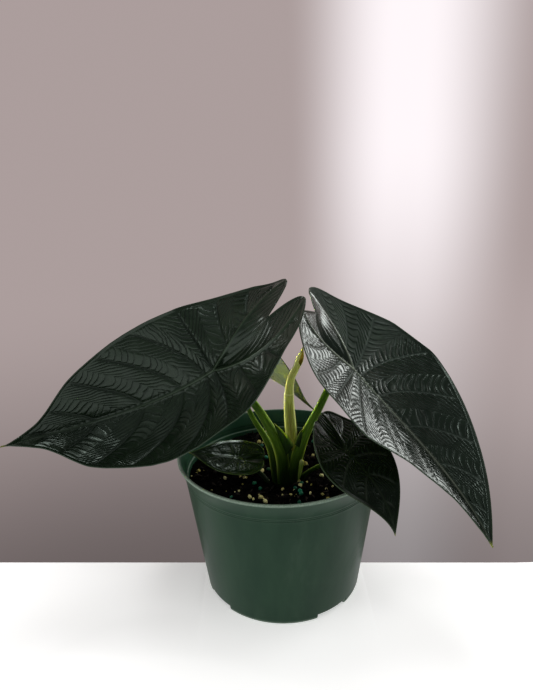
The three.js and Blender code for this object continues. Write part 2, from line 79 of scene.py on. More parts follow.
class Slot(Enum):
    """Names of material slots."""

    POT = "pot_plastic"
    MIX = "potting_mix"
    STALK = "stalk_green"
    SHOOT = "shoot_green"
    LEAF = "leaf_green"


# Numbers and curves


def smooth(low: float, high: float, value: Array) -> Array:
    """Smooth step: t * t * (3 - 2 * t), with t the share of value from low to high.

    Args:
        low: where the step is 0.
        high: where the step is 1.
        value: any array.

    Returns:
        The step at each value.
    """
    t = np.clip((value - low) / (high - low), 0.0, 1.0)
    return t * t * (3.0 - 2.0 * t)


def swell(distance: Array, width: float) -> Array:
    """Bell of height 1 around 0: exp(-(distance / width) ** 2)."""
    return np.exp(-((distance / width) ** 2))


def noise(points: Array, cell: float, seed: int) -> Array:
    """Value noise: lattice draws from -1 to 1, blended by t * t * (3 - 2 * t) on each axis.

    Args:
        points: places, with their coordinates on the last axis.
        cell: lattice width, in the units of points.
        seed: chooses the draws.

    Returns:
        One value for each place.
    """
    scaled = points / cell
    base = np.floor(scaled)
    part = scaled - base
    part = part * part * (3.0 - 2.0 * part)
    base = base.astype(np.int64)
    axes = points.shape[-1]
    total = np.zeros(points.shape[:-1])
    for corner in range(2**axes):
        offset = np.array([(corner >> axis) & 1 for axis in range(axes)])
        weight = np.prod(np.where(offset, part, 1.0 - part), axis=-1)
        key = np.full(total.shape, seed * SEED_STEP, dtype=np.int64)
        for axis in range(axes):
            key = (key ^ (base[..., axis] + offset[axis])) * KEY_STEP & KEY_MASK
            key ^= key >> KEY_SHIFT
        total += weight * (key / (KEY_MASK >> 1) - 1.0)
    return total


def leaned_ridge(phase: Array) -> Array:
    """Rounded ridges with sharp grooves between: 0 at whole phases, 1 at RIDGE_LEAN past them.

    With t the part of the phase past a whole number, and way the smaller of t / lean and
    (1 - t) / (1 - lean), the height is way * (1 + round - round * way).

    Args:
        phase: place across the ridges, in pitches.

    Returns:
        Heights from 0 to 1.
    """
    t = phase - np.floor(phase)
    way = np.minimum(t / RIDGE_LEAN, (1 - t) / (1 - RIDGE_LEAN))
    return way * (1 + RIDGE_ROUND - RIDGE_ROUND * way)


def evenly(steps: int) -> Array:
    """Even shares from 0 to 1, one more than there are steps."""
    return np.linspace(0.0, 1.0, steps + 1)


def round_angles(sides: int) -> Array:
    """Even angles round one turn, in radians."""
    return np.linspace(0, TURN, sides + 1)[:-1]


def wrapped(angle: Array) -> Array:
    """Angles brought to within half a turn of 0: the angle of exp(i * angle)."""
    return np.angle(np.exp(1j * angle))


def bezier(p0: tuple, p1: tuple, p2: tuple, p3: tuple, count: int) -> Array:
    """Points of a cubic curve: sum of p0..p3 times the four Bernstein weights.

    Args:
        p0: start.
        p1: first handle.
        p2: second handle.
        p3: end.
        count: number of steps.

    Returns:
        count + 1 points.
    """
    t = evenly(count)[:, None]
    p0, p1, p2, p3 = (np.array(p, float) for p in (p0, p1, p2, p3))
    return (1 - t) ** 3 * p0 + 3 * (1 - t) ** 2 * t * p1 + 3 * (1 - t) * t**2 * p2 + t**3 * p3


def reaches(line: Array) -> Array:
    """Way along each path to each of its points: the running sum of the distances between them.

    Args:
        line: points, with the path's own axis before their coordinates.

    Returns:
        The ways, which start at 0.
    """
    steps = np.linalg.norm(np.diff(line, axis=-2), axis=-1)
    return np.concatenate([np.zeros((*steps.shape[:-1], 1)), np.cumsum(steps, axis=-1)], axis=-1)


def length_of(line: Array) -> float:
    """Length of a path of points: the sum of the distances between them."""
    return np.linalg.norm(np.diff(line, axis=0), axis=1).sum()


def along_line(line: Array, share: Array) -> Array:
    """Points at shares of a polyline's length, straight between its corners.

    Args:
        line: corners, one a row.
        share: shares from 0 to 1.

    Returns:
        One point for each share.
    """
    reach = reaches(line)
    wanted = np.clip(share, 0.0, 1.0) * reach[-1]
    return np.stack([np.interp(wanted, reach, line[:, i]) for i in range(line.shape[1])], axis=-1)


def bend_law(law: Law, q: Array) -> Array:
    """Parabola through its values at q of -1, 0 and 1: the lobes, the stalk and the tip."""
    lobes, stalk, tip = law
    return stalk + (tip - lobes) / 2 * q + ((tip + lobes) / 2 - stalk) * q * q


def unit(vectors: Array) -> Array:
    """Vectors divided by their lengths, with a zero vector left as it is."""
    length = np.linalg.norm(vectors, axis=-1, keepdims=True)
    return vectors / np.maximum(length, 1e-12)


def off_line(places: Array, start: Array, way: Array) -> Array:
    """Distance of flat places from the line through start along way: |cross(place - start, way)|."""
    gap = places - start
    return np.abs(gap[..., 0] * way[..., 1] - gap[..., 1] * way[..., 0])


def catmull_rom(knots: Array, count: int) -> Array:
    """Centripetal Catmull-Rom curve through knots of x, y, z and radius.

    Between two knots it is the cubic with end slopes of the non-uniform Catmull-Rom rule, where a
    knot interval is the root of the distance. The solids' stems follow the same rule.

    Args:
        knots: x, y, z and radius of each station.
        count: number of steps, spread evenly over the length.

    Returns:
        count + 1 rows of x, y, z and radius.
    """
    ends = np.vstack([2 * knots[0] - knots[1], knots, 2 * knots[-1] - knots[-2]])
    gaps = np.sqrt(np.linalg.norm(np.diff(ends[:, :3], axis=0), axis=1))[:, None]
    p0, p1, p2, p3 = ends[:-3], ends[1:-2], ends[2:-1], ends[3:]
    d0, d1, d2 = gaps[:-2], gaps[1:-1], gaps[2:]
    start = ((p1 - p0) / d0 - (p2 - p0) / (d0 + d1) + (p2 - p1) / d1) * d1
    stop = ((p2 - p1) / d1 - (p3 - p1) / (d1 + d2) + (p3 - p2) / d2) * d1
    t = evenly(KNOT_STEPS)[:-1, None, None]
    curve = (
        p1 + start * t + (3 * (p2 - p1) - 2 * start - stop) * t**2
        + (2 * (p1 - p2) + start + stop) * t**3
    )
    line = np.vstack([curve.transpose(1, 0, 2).reshape(-1, 4), knots[-1:]])
    reach = reaches(line[:, :3])
    wanted = np.linspace(0.0, reach[-1], count + 1)
    return np.stack([np.interp(wanted, reach, line[:, i]) for i in range(4)], axis=-1)


def carried_frames(line: Array, facing: Point) -> tuple[Array, Array]:
    """Two directions across a path that face the same way all along it, without twist.

    Args:
        line: points of the path.
        facing: what the first direction should face.

    Returns:
        The direction that faces that way and the one beside it, at each point.
    """
    ahead = unit(np.gradient(line, axis=0))
    front = np.array(facing, float) - ahead * (ahead @ np.array(facing, float))[:, None]
    front = unit(front)
    return front, np.cross(ahead, front)


@dataclass(frozen=True)
class Path:
    """A stem's path: x, y, z and radius at even shares of its length, and two ways across it."""

    line: Array
    front: Array
    beside: Array
    share: Array

    @classmethod
    def through(cls, stations: tuple[Station, ...], facing: Point, steps: int) -> "Path":
        """The smooth path through stations.

        Args:
            stations: x, y, z and radius, one after another.
            facing: what its front faces.
            steps: number of steps.

        Returns:
            The path.
        """
        line = catmull_rom(np.array(stations, float), steps)
        front, beside = carried_frames(line[:, :3], facing)
        return cls(line, front, beside, evenly(steps)[:, None])

    def radius(self) -> Array:
        """Radius at each point, one a row."""
        return self.line[:, 3:4]

    def length(self) -> float:
        """Length from end to end."""
        return length_of(self.line[:, :3])

    def closed(self, radius: Array) -> Array:
        """Radii that are 0 at both ends, which closes a tube with poles."""
        return np.where((self.share == 0) | (self.share == 1), 0.0, radius)

    def around(self, radius: Array, angle: Array) -> Array:
        """Places round the path: point + front * radius * cos(angle) + beside * radius * sin(angle).

        Args:
            radius: distance from the path, a row for each of its points.
            angle: angle from the front, for each column or for each place.

        Returns:
            A grid of places.
        """
        return (self.line[:, None, :3] + self.front[:, None] * (radius * np.cos(angle))[..., None]
                + self.beside[:, None] * (radius * np.sin(angle))[..., None])

    def grain(self, radius: Array | float, angle: Array, length: float) -> Array:
        """Coordinates that follow the stem: radius * cos(angle), radius * sin(angle), share * length.

        Args:
            radius: how far from the middle the grain runs.
            angle: angle from the front.
            length: the grain's length.

        Returns:
            A grid of vectors.
        """
        along = length * self.share + 0 * angle
        return np.stack([radius * np.cos(angle), radius * np.sin(angle), along], axis=-1)


# Meshes


def grid_faces(index: Array) -> Array:
    """Faces between the neighbours of a grid of indices, one a row."""
    corners_of = [index[:-1, :-1], index[:-1, 1:], index[1:, 1:], index[1:, :-1]]
    return np.stack(corners_of, axis=-1).reshape(-1, 4)


@dataclass
class Shell:
    """A polygon mesh that grows part by part, in millimetres."""

    points: list[Array] = field(default_factory=list)
    faces: list[Array] = field(default_factory=list)
    dress: list[Array] = field(default_factory=list)
    values: list[dict[str, Array]] = field(default_factory=list)
    count: int = 0

    def add(
        self, points: Array, faces: Array, dress: int | Array = 0, **values: Array,
    ) -> None:
        """Adds points, four-cornered faces and values on the points.

        Args:
            points: places, one a row.
            faces: four indices a row; a repeated index makes a triangle.
            dress: the finish's number, or one for each face.
            **values: numbers or vectors of each point, by attribute name.
        """
        self.points.append(points)
        self.faces.append(faces + self.count)
        self.dress.append(np.broadcast_to(dress, len(faces)))
        self.values.append({
            name: np.broadcast_to(value, (len(points), *np.shape(value)[1:]))
            for name, value in values.items()
        })
        self.count += len(points)

    def add_grid(
        self, places: Array, wrap: bool = False, flip: bool = False,
        dress: int | Array = 0, **values: Array | float,
    ) -> None:
        """Adds a surface of two parameters, given on a grid.

        Args:
            places: rows by columns of points.
            wrap: joins the last column to the first.
            flip: turns the faces round.
            dress: the finish's number, or one for each face.
            **values: a number, or grids of numbers or of vectors, by attribute name.
        """
        rows, columns = places.shape[:2]
        index = np.arange(rows * columns).reshape(rows, columns)
        if wrap:
            index = np.hstack([index, index[:, :1]])
        faces = grid_faces(index)
        flat = {}
        for name, value in values.items():
            value = np.asarray(value, float)
            extra = value.shape[2:] if value.ndim > 2 else ()
            flat[name] = np.broadcast_to(value, (rows, columns, *extra)).reshape(rows * columns, *extra)
        self.add(places.reshape(-1, 3), faces[:, ::-1] if flip else faces, dress, **flat)

    def build(self, name: str, materials: list[bpy.types.Material]) -> bpy.types.Object:
        """Welds equal points, drops faces without area and makes the object.

        Args:
            name: the piece's name.
            materials: its finishes, in the order of their numbers.

        Returns:
            The object, at the origin, with its place in its mesh.
        """
        points = np.vstack(self.points)
        rounded = np.round(points, WELD_DIGITS)
        _, first, back = np.unique(rounded, axis=0, return_index=True, return_inverse=True)
        faces = back.reshape(-1)[np.vstack(self.faces)]
        dress = np.concatenate(self.dress)
        same = faces == np.roll(faces, -1, axis=1)
        cross = (faces[:, 0] == faces[:, 2]) | (faces[:, 1] == faces[:, 3])
        keep = (same.sum(axis=1) < 2) & ~cross
        faces, dress, same = faces[keep], dress[keep], same[keep]
        corners = np.where(same.any(axis=1), 3, 4)
        loops = faces[~same]
        mesh = bpy.data.meshes.new(name)
        mesh.vertices.add(len(first))
        mesh.vertices.foreach_set("co", (points[first] * MM).astype(np.float32).ravel())
        mesh.loops.add(len(loops))
        mesh.loops.foreach_set("vertex_index", loops.astype(np.int32))
        mesh.polygons.add(len(faces))
        starts = np.concatenate([[0], np.cumsum(corners)[:-1]]).astype(np.int32)
        mesh.polygons.foreach_set("loop_start", starts)
        mesh.polygons.foreach_set("material_index", dress.astype(np.int32))
        mesh.polygons.foreach_set("use_smooth", np.ones(len(faces), bool))
        for value in sorted({key for part in self.values for key in part}):
            self.write_value(mesh, value, first)
        mesh.update(calc_edges=True)
        mesh.validate()
        for material in materials:
            mesh.materials.append(material)
        made = bpy.data.objects.new(name, mesh)
        bpy.context.scene.collection.objects.link(made)
        return made

    def write_value(self, mesh: bpy.types.Mesh, name: str, first: Array) -> None:
        """Writes one attribute of the points, with 0 for the parts that don't have it.

        Args:
            mesh: the mesh to write to.
            name: the attribute's name.
            first: the index that each welded point comes from.
        """
        shape = next(np.shape(part[name])[1:] for part in self.values if name in part)
        parts = [
            part.get(name, np.zeros((len(points), *shape)))
            for part, points in zip(self.values, self.points)
        ]
        data = np.concatenate(parts)[first].astype(np.float32)
        kind, key = ("FLOAT_VECTOR", "vector") if shape else ("FLOAT", "value")
        mesh.attributes.new(name, kind, "POINT").data.foreach_set(key, data.ravel())


def place_piece(
    shell: Shell, name: str, finishes: list["Finish"], node: str,
) -> bpy.types.Object:
    """Makes a piece, lets it ride on the body and stand for its solid, and reports it.

    Args:
        shell: its mesh.
        name: its name.
        finishes: its finishes, in the order of their numbers.
        node: the solid that it stands for.

    Returns:
        The object.
    """
    made = shell.build(name, [finish.make() for finish in finishes])
    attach(made, BODY)
    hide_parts(node)
    LOG.info("%s: %d faces, stands for %s", name, len(made.data.polygons), node)
    return made


# Finishes


class Graph:
    """A material's shader tree while it is put together."""

    def __init__(self, name: str) -> None:
        """Starts an empty tree with an output.

        Args:
            name: the material's name.
        """
        self.material = bpy.data.materials.new(name)
        self.material.use_nodes = True
        self.tree = self.material.node_tree
        self.tree.nodes.clear()
        self.output = self.tree.nodes.new("ShaderNodeOutputMaterial")

    def put(self, socket: Socket, value: object) -> None:
        """Links a socket to an output, or sets its number or colour.

        Args:
            socket: the input.
            value: an output socket, a number or a colour.
        """
        if isinstance(value, Socket):
            self.tree.links.new(value, socket)
        elif socket.type == "RGBA" and len(value) == 3:
            socket.default_value = (*value, 1.0)
        else:
            socket.default_value = value

    def node(self, kind: str, inputs: dict, **settings: object) -> bpy.types.Node:
        """Adds a node.

        Args:
            kind: its type's name after ShaderNode.
            inputs: values of its inputs, by name or number.
            **settings: its own settings.

        Returns:
            The node.
        """
        made = self.tree.nodes.new("ShaderNode" + kind)
        for key, value in settings.items():
            setattr(made, key, value)
        for key, value in inputs.items():
            self.put(made.inputs[key], value)
        return made

    def value(self, name: str, vector: bool = False) -> Socket:
        """The mesh's attribute of that name, as a number or as a vector."""
        made = self.node("Attribute", {}, attribute_name=name)
        return made.outputs["Vector" if vector else "Fac"]

    def place(self) -> Socket:
        """Object coordinates, in metres."""
        return self.node("TexCoord", {}).outputs["Object"]

    def scaled(self, vector: Socket, x: float, y: float, z: float) -> Socket:
        """A vector with each of its parts multiplied by a number."""
        return self.node("Mapping", {0: vector, 3: (x, y, z)}).outputs[0]

    def math(self, operation: str, *values: object, clamp: bool = False) -> Socket:
        """The result of a Math node on one to three values."""
        made = self.node("Math", dict(enumerate(values)), operation=operation, use_clamp=clamp)
        return made.outputs[0]

    def times(self, first: object, second: object) -> Socket:
        """Two values multiplied."""
        return self.math("MULTIPLY", first, second)

    def mix(self, share: object, low: object, high: object) -> Socket:
        """A colour from low to high by a share."""
        return self.node("Mix", {0: share, 6: low, 7: high}, data_type="RGBA").outputs[2]

    def ranged(
        self, value: object, low: float, high: float, to_low: float = 0.0, to_high: float = 1.0,
    ) -> Socket:
        """A value carried smoothly from one range to another, and kept in it."""
        inputs = {0: value, 1: low, 2: high, 3: to_low, 4: to_high}
        return self.node("MapRange", inputs, interpolation_type="SMOOTHSTEP").outputs[0]

    def cloud(
        self, vector: Socket, scale: float, detail: float = 3.0, rough: float = 0.55, twist: float = 0.0,
    ) -> Socket:
        """Noise from 0 to 1 at a scale per metre of the vector."""
        kind = {"Detail": detail, "Roughness": rough, "Distortion": twist}
        return self.node("TexNoise", {"Vector": vector, "Scale": scale} | kind).outputs[0]

    def net(self, vector: Socket, scale: float) -> Socket:
        """Distance to the nearest edge of a net of cells, at a scale per metre."""
        cells = self.node("TexVoronoi", {"Vector": vector, "Scale": scale}, feature="DISTANCE_TO_EDGE")
        return cells.outputs["Distance"]

    def relief(
        self, height: Socket, distance: float, strength: float = 1.0, under: Socket | None = None,
    ) -> Socket:
        """A normal raised by height times distance.

        Args:
            height: the height, from 0 to 1.
            distance: what a height of 1 stands for, in metres.
            strength: how much of it counts.
            under: the normal that it is raised from, if not the mesh's own.

        Returns:
            The normal.
        """
        inputs = {"Height": height, "Distance": distance, "Strength": strength}
        if under is not None:
            inputs["Normal"] = under
        return self.node("Bump", inputs).outputs[0]

    def finish(self, **inputs: object) -> bpy.types.Material:
        """Closes the tree with the shader.

        Args:
            **inputs: its inputs, with underscores for the spaces in their names.

        Returns:
            The material.
        """
        named = {key.replace("_", " "): value for key, value in inputs.items()}
        shader = self.node("BsdfPrincipled", named)
        self.put(self.output.inputs[0], shader.outputs[0])
        return self.material


class Finish:
    """What a surface is finished with."""

    def make(self) -> bpy.types.Material:
        """The finish's material."""
        raise NotImplementedError


@dataclass(frozen=True)
class LeafFinish(Finish):
    """The leathery upper face of a blade: dark green between paler ribs."""

    name: str
    dark: Colour
    light: Colour
    rib: Colour
    rim: Colour
    tip: Colour = (0.22, 0.24, 0.04)
    # colour painted in the vein hollows: dark by default, as painted shade; the paler ones of some leaves
    # are partly the veins' own tone and partly painted highlight
    line: Colour = (0.0010, 0.0030, 0.0010)
    # colour of the painted highlight laid on the cross veins' crests
    crest_highlight: Colour = (0.016, 0.026, 0.017)
    sheen: Colour = (0.82, 1.0, 0.88)
    groove_shade: float = 0.25
    roughness: float = 0.21
    gloss: float = 0.5
    ridge_height: float = 0.00035
    groove_width: float = 0.5
    pore_depth: float = 0.00002
    patch_scale: float = 60.0
    crest_scale: float = 90.0
    dust_scale: float = 180.0
    pore_scale: float = 1500.0

    def make(self) -> bpy.types.Material:
        """Builds the material: herringbone ridges with a painted highlight on their crests and painted
        shade in their grooves, pores, ribs, rim and drip tip.

        The ridges' height over the mesh's phase is the one of leaned_ridge, and a groove is the
        lace where that height is below groove_width.

        Returns:
            The material.
        """
        g = Graph(self.name)
        place = g.place()
        part = g.math("FRACT", g.value("phase"))
        rise = g.math("DIVIDE", part, RIDGE_LEAN)
        fall = g.math("DIVIDE", g.math("SUBTRACT", 1.0, part), 1 - RIDGE_LEAN)
        way = g.math("MINIMUM", rise, fall)
        ridge = g.times(way, g.math("SUBTRACT", 1 + RIDGE_ROUND, g.times(way, RIDGE_ROUND)))
        lace, hollow = g.value("lace"), g.value("hollow")
        groove = g.times(lace, g.ranged(ridge, 0.0, self.groove_width, 1.0, 0.0))
        raised = g.math("SUBTRACT", g.times(g.times(ridge, lace), 0.5), groove)
        patches = g.ranged(g.cloud(place, self.patch_scale, 3), 0.35, 0.7)
        highlight_patches = g.cloud(place, self.crest_scale, 2)
        pores = g.cloud(place, self.pore_scale, 2)
        colour = g.mix(patches, self.dark, self.light)
        # painted highlight on the ridge crests, in patches
        top = g.times(g.ranged(ridge, 0.7, 0.95), g.times(lace, g.ranged(highlight_patches, 0.4, 0.65)))
        colour = g.mix(top, colour, self.crest_highlight)
        colour = g.mix(g.times(groove, 0.9), colour, tuple(self.groove_shade * c for c in self.dark))
        # vein hollows take the line colour: painted shade where it is dark, partly painted highlight where
        # it is pale
        colour = g.mix(g.times(hollow, 0.8), colour, self.line)
        colour = g.mix(g.times(g.value("rib"), 0.8), colour, self.rib)
        colour = g.mix(g.value("rim"), colour, self.rim)
        colour = g.mix(g.value("tip"), colour, self.tip)
        normal = g.relief(raised, self.ridge_height)
        normal = g.relief(pores, self.pore_depth, 0.25, normal)
        dust = g.cloud(place, self.dust_scale, 3)
        rough = g.ranged(dust, 0.3, 0.7, self.roughness - 0.03, self.roughness + 0.06)
        dull = g.math("ADD", g.times(groove, 0.35), g.times(hollow, 0.3))
        rough = g.math("ADD", rough, g.math("ADD", dull, g.value("dull")), clamp=True)
        return g.finish(
            Base_Color=colour, Roughness=rough, Normal=normal,
            Specular_IOR_Level=self.gloss, Specular_Tint=self.sheen,
        )


@dataclass(frozen=True)
class UnderFinish(Finish):
    """The matte, pale underside of a blade, with raised darker veins."""

    name: str
    light: Colour
    dark: Colour
    vein: Colour
    spot: Colour
    spots: float = 0.0
    shade: tuple[float, float] | None = None
    shaded: Colour = (0.035, 0.055, 0.010)
    roughness: float = 0.55
    gloss: float = 0.15
    vein_height: float = 0.00012
    patch_scale: float = 70.0
    vein_scale: float = 420.0
    spot_scale: float = 240.0

    def make(self) -> bpy.types.Material:
        """Builds the material: a soft net of veins and, where asked, brown spots and shade.

        The shade grows with the object's x, from the first to the second number of shade.

        Returns:
            The material.
        """
        g = Graph(self.name)
        place = g.place()
        patches = g.ranged(g.cloud(place, self.patch_scale, 4), 0.3, 0.75)
        colour = g.mix(patches, self.light, self.dark)
        net = g.ranged(g.net(place, self.vein_scale), 0.0, 0.12, 1.0, 0.0)
        colour = g.mix(g.times(net, 0.25), colour, self.vein)
        colour = g.mix(g.times(g.value("rib"), 0.8), colour, self.vein)
        spots = g.ranged(g.cloud(place, self.spot_scale, 2, 0.6, 0.6), 0.62, 0.7, 0.0, self.spots)
        colour = g.mix(spots, colour, self.spot)
        if self.shade:
            across = g.node("SeparateXYZ", {0: place}).outputs[0]
            colour = g.mix(g.ranged(across, *self.shade, 0.0, 0.85), colour, self.shaded)
        colour = g.mix(g.value("tip"), colour, self.spot)
        return g.finish(
            Base_Color=colour, Roughness=self.roughness, Normal=g.relief(net, self.vein_height),
            Specular_IOR_Level=self.gloss, Subsurface_Weight=0.7, Subsurface_Scale=0.003,
            Subsurface_Radius=(1.0, 1.0, 0.35),
        )


@dataclass(frozen=True)
class StalkFinish(Finish):
    """A smooth stalk with lengthwise streaks, paler along its sheath's edges with a painted rim highlight,
    and with painted shade at its foot.
    """

    name: str
    dark: Colour
    light: Colour
    # colour of the pale sheath edges; on the stalks and the rolled leaf it also stands for a painted rim
    # highlight
    edge: Colour
    # colour of the painted shade at the foot; on the rolled leaf also of its dried mouth
    foot: Colour
    roughness: float = 0.48
    gloss: float = 0.14
    streak_height: float = 0.00012
    pore_depth: float = 0.00004
    streak_scale: float = 1.6
    streak_stretch: float = 0.06
    blotch_scale: float = 0.09
    pore_scale: float = 1200.0

    def make(self) -> bpy.types.Material:
        """Builds the material: streaks that follow the stalk, pale wings with a painted rim highlight, and
        a foot in painted shade.

        Streaks and blotches are noise on the mesh's grain, in millimetres, and the streaks' is
        stretched along it.

        Returns:
            The material.
        """
        g = Graph(self.name)
        grain = g.value("grain", vector=True)
        stretched = g.scaled(grain, 1.0, 1.0, self.streak_stretch)
        streaks = g.ranged(g.cloud(stretched, self.streak_scale, 4, 0.6), 0.35, 0.68)
        blotch = g.ranged(g.cloud(grain, self.blotch_scale, 3), 0.4, 0.7)
        colour = g.mix(streaks, self.dark, self.light)
        colour = g.mix(g.times(blotch, 0.35), colour, self.light)
        colour = g.mix(g.value("foot"), colour, self.foot)
        colour = g.mix(g.value("edge"), colour, self.edge)
        normal = g.relief(streaks, self.streak_height)
        normal = g.relief(g.cloud(g.place(), self.pore_scale, 2), self.pore_depth, 0.6, normal)
        return g.finish(
            Base_Color=colour, Roughness=self.roughness, Normal=normal,
            Specular_IOR_Level=self.gloss, Subsurface_Weight=0.4, Subsurface_Scale=0.003,
            Subsurface_Radius=(1.0, 1.0, 0.3),
        )


@dataclass(frozen=True)
class PlasticFinish(Finish):
    """Moulded dark green plastic with faint flow marks, scuffs, a painted highlight on its edges, and dust.
    """

    name: str = "dark_green_plastic"
    dark: Colour = (0.0090, 0.0360, 0.0184)
    light: Colour = (0.0146, 0.0465, 0.0242)
    dust: Colour = (0.13, 0.18, 0.14)
    # colour of wear and of the painted highlight on the lip, ledges and foot
    scuff_highlight_colour: Colour = (0.26, 0.34, 0.27)
    roughness: float = 0.38
    gloss: float = 0.13
    grain_height: float = 0.00006
    flow_scale: float = 55.0
    smear_scale: float = 26.0
    grain_scale: float = 900.0

    def make(self) -> bpy.types.Material:
        """Builds the material: upright flow marks, dusty smears, worn edges with a painted highlight, and
        soft grain.

        Returns:
            The material.
        """
        g = Graph(self.name)
        place = g.place()
        flow = g.ranged(g.cloud(g.scaled(place, 1.0, 1.0, 0.25), self.flow_scale, 4, 0.6), 0.3, 0.7)
        fine = g.cloud(place, self.grain_scale, 3)
        stretched = g.scaled(place, 1.0, 1.0, 0.4)
        smear = g.ranged(g.cloud(stretched, self.smear_scale, 5, 0.65, 1.2), 0.5, 0.75)
        colour = g.mix(flow, self.dark, self.light)
        colour = g.mix(g.times(smear, 0.10), colour, self.dust)
        # wear and painted highlight, broken up by fine noise
        worn = g.times(g.value("worn"), g.ranged(fine, 0.3, 0.6, 0.5, 0.9))
        colour = g.mix(worn, colour, self.scuff_highlight_colour)
        rough = g.ranged(smear, 0.0, 1.0, self.roughness, self.roughness + 0.12)
        normal = g.relief(fine, self.grain_height, 0.5)
        return g.finish(
            Base_Color=colour, Roughness=rough, Normal=normal, Specular_IOR_Level=self.gloss,
        )


@dataclass(frozen=True)
class CrumbFinish(Finish):
    """A rough mineral or peat finish whose tone varies from grain to grain."""

    name: str
    dark: Colour
    light: Colour
    roughness: float = 0.9
    grain: float = 1400.0
    depth: float = 0.0003
    gloss: float = 0.3

    def make(self) -> bpy.types.Material:
        """Builds the material from the grain's own tone and a fine noise.

        Returns:
            The material.
        """
        g = Graph(self.name)
        fine = g.cloud(g.place(), self.grain, 4, 0.65)
        tone = g.math("ADD", g.value("tone"), g.ranged(fine, 0.3, 0.8, -0.25, 0.25), clamp=True)
        colour = g.mix(tone, self.dark, self.light)
        return g.finish(
            Base_Color=colour, Roughness=self.roughness, Normal=g.relief(fine, self.depth),
            Specular_IOR_Level=self.gloss,
        )


# Blades

# a distance in millimetres past every bell
FAR = 60.0
# an area below which a face is dropped
NO_AREA = 1e-6
# the noise's step from leaf to leaf
SEED_LAYER = 31.7


@dataclass(frozen=True)
class BladeShape:
    """Flat outline, bend and veins of one blade: the values of its solid."""

    stalk: Point
    front: float
    back: float
    sinus: float
    half: float
    widest: float
    lobe: float
    point: float
    neck: float
    belly: float
    shoulder: float
    lobe_round: float
    lobe_turn: float
    sinus_round: float
    heading: Law
    pitch: Law
    roll: Law
    fold_left: Law
    fold_right: Law
    curl_left: float
    curl_right: float
    front_veins: int
    lobe_veins: int


@dataclass(frozen=True)
class Weave:
    """How finely a blade is made, and the pitch of its cross veins in millimetres."""

    rows: int
    outer: int
    inner: int
    pitch: float = 3.6


@dataclass
class Patch:
    """A grid of flat points of a blade, with what is known at each."""

    flat: Array
    height: Array
    keel: Array
    values: dict[str, Array]


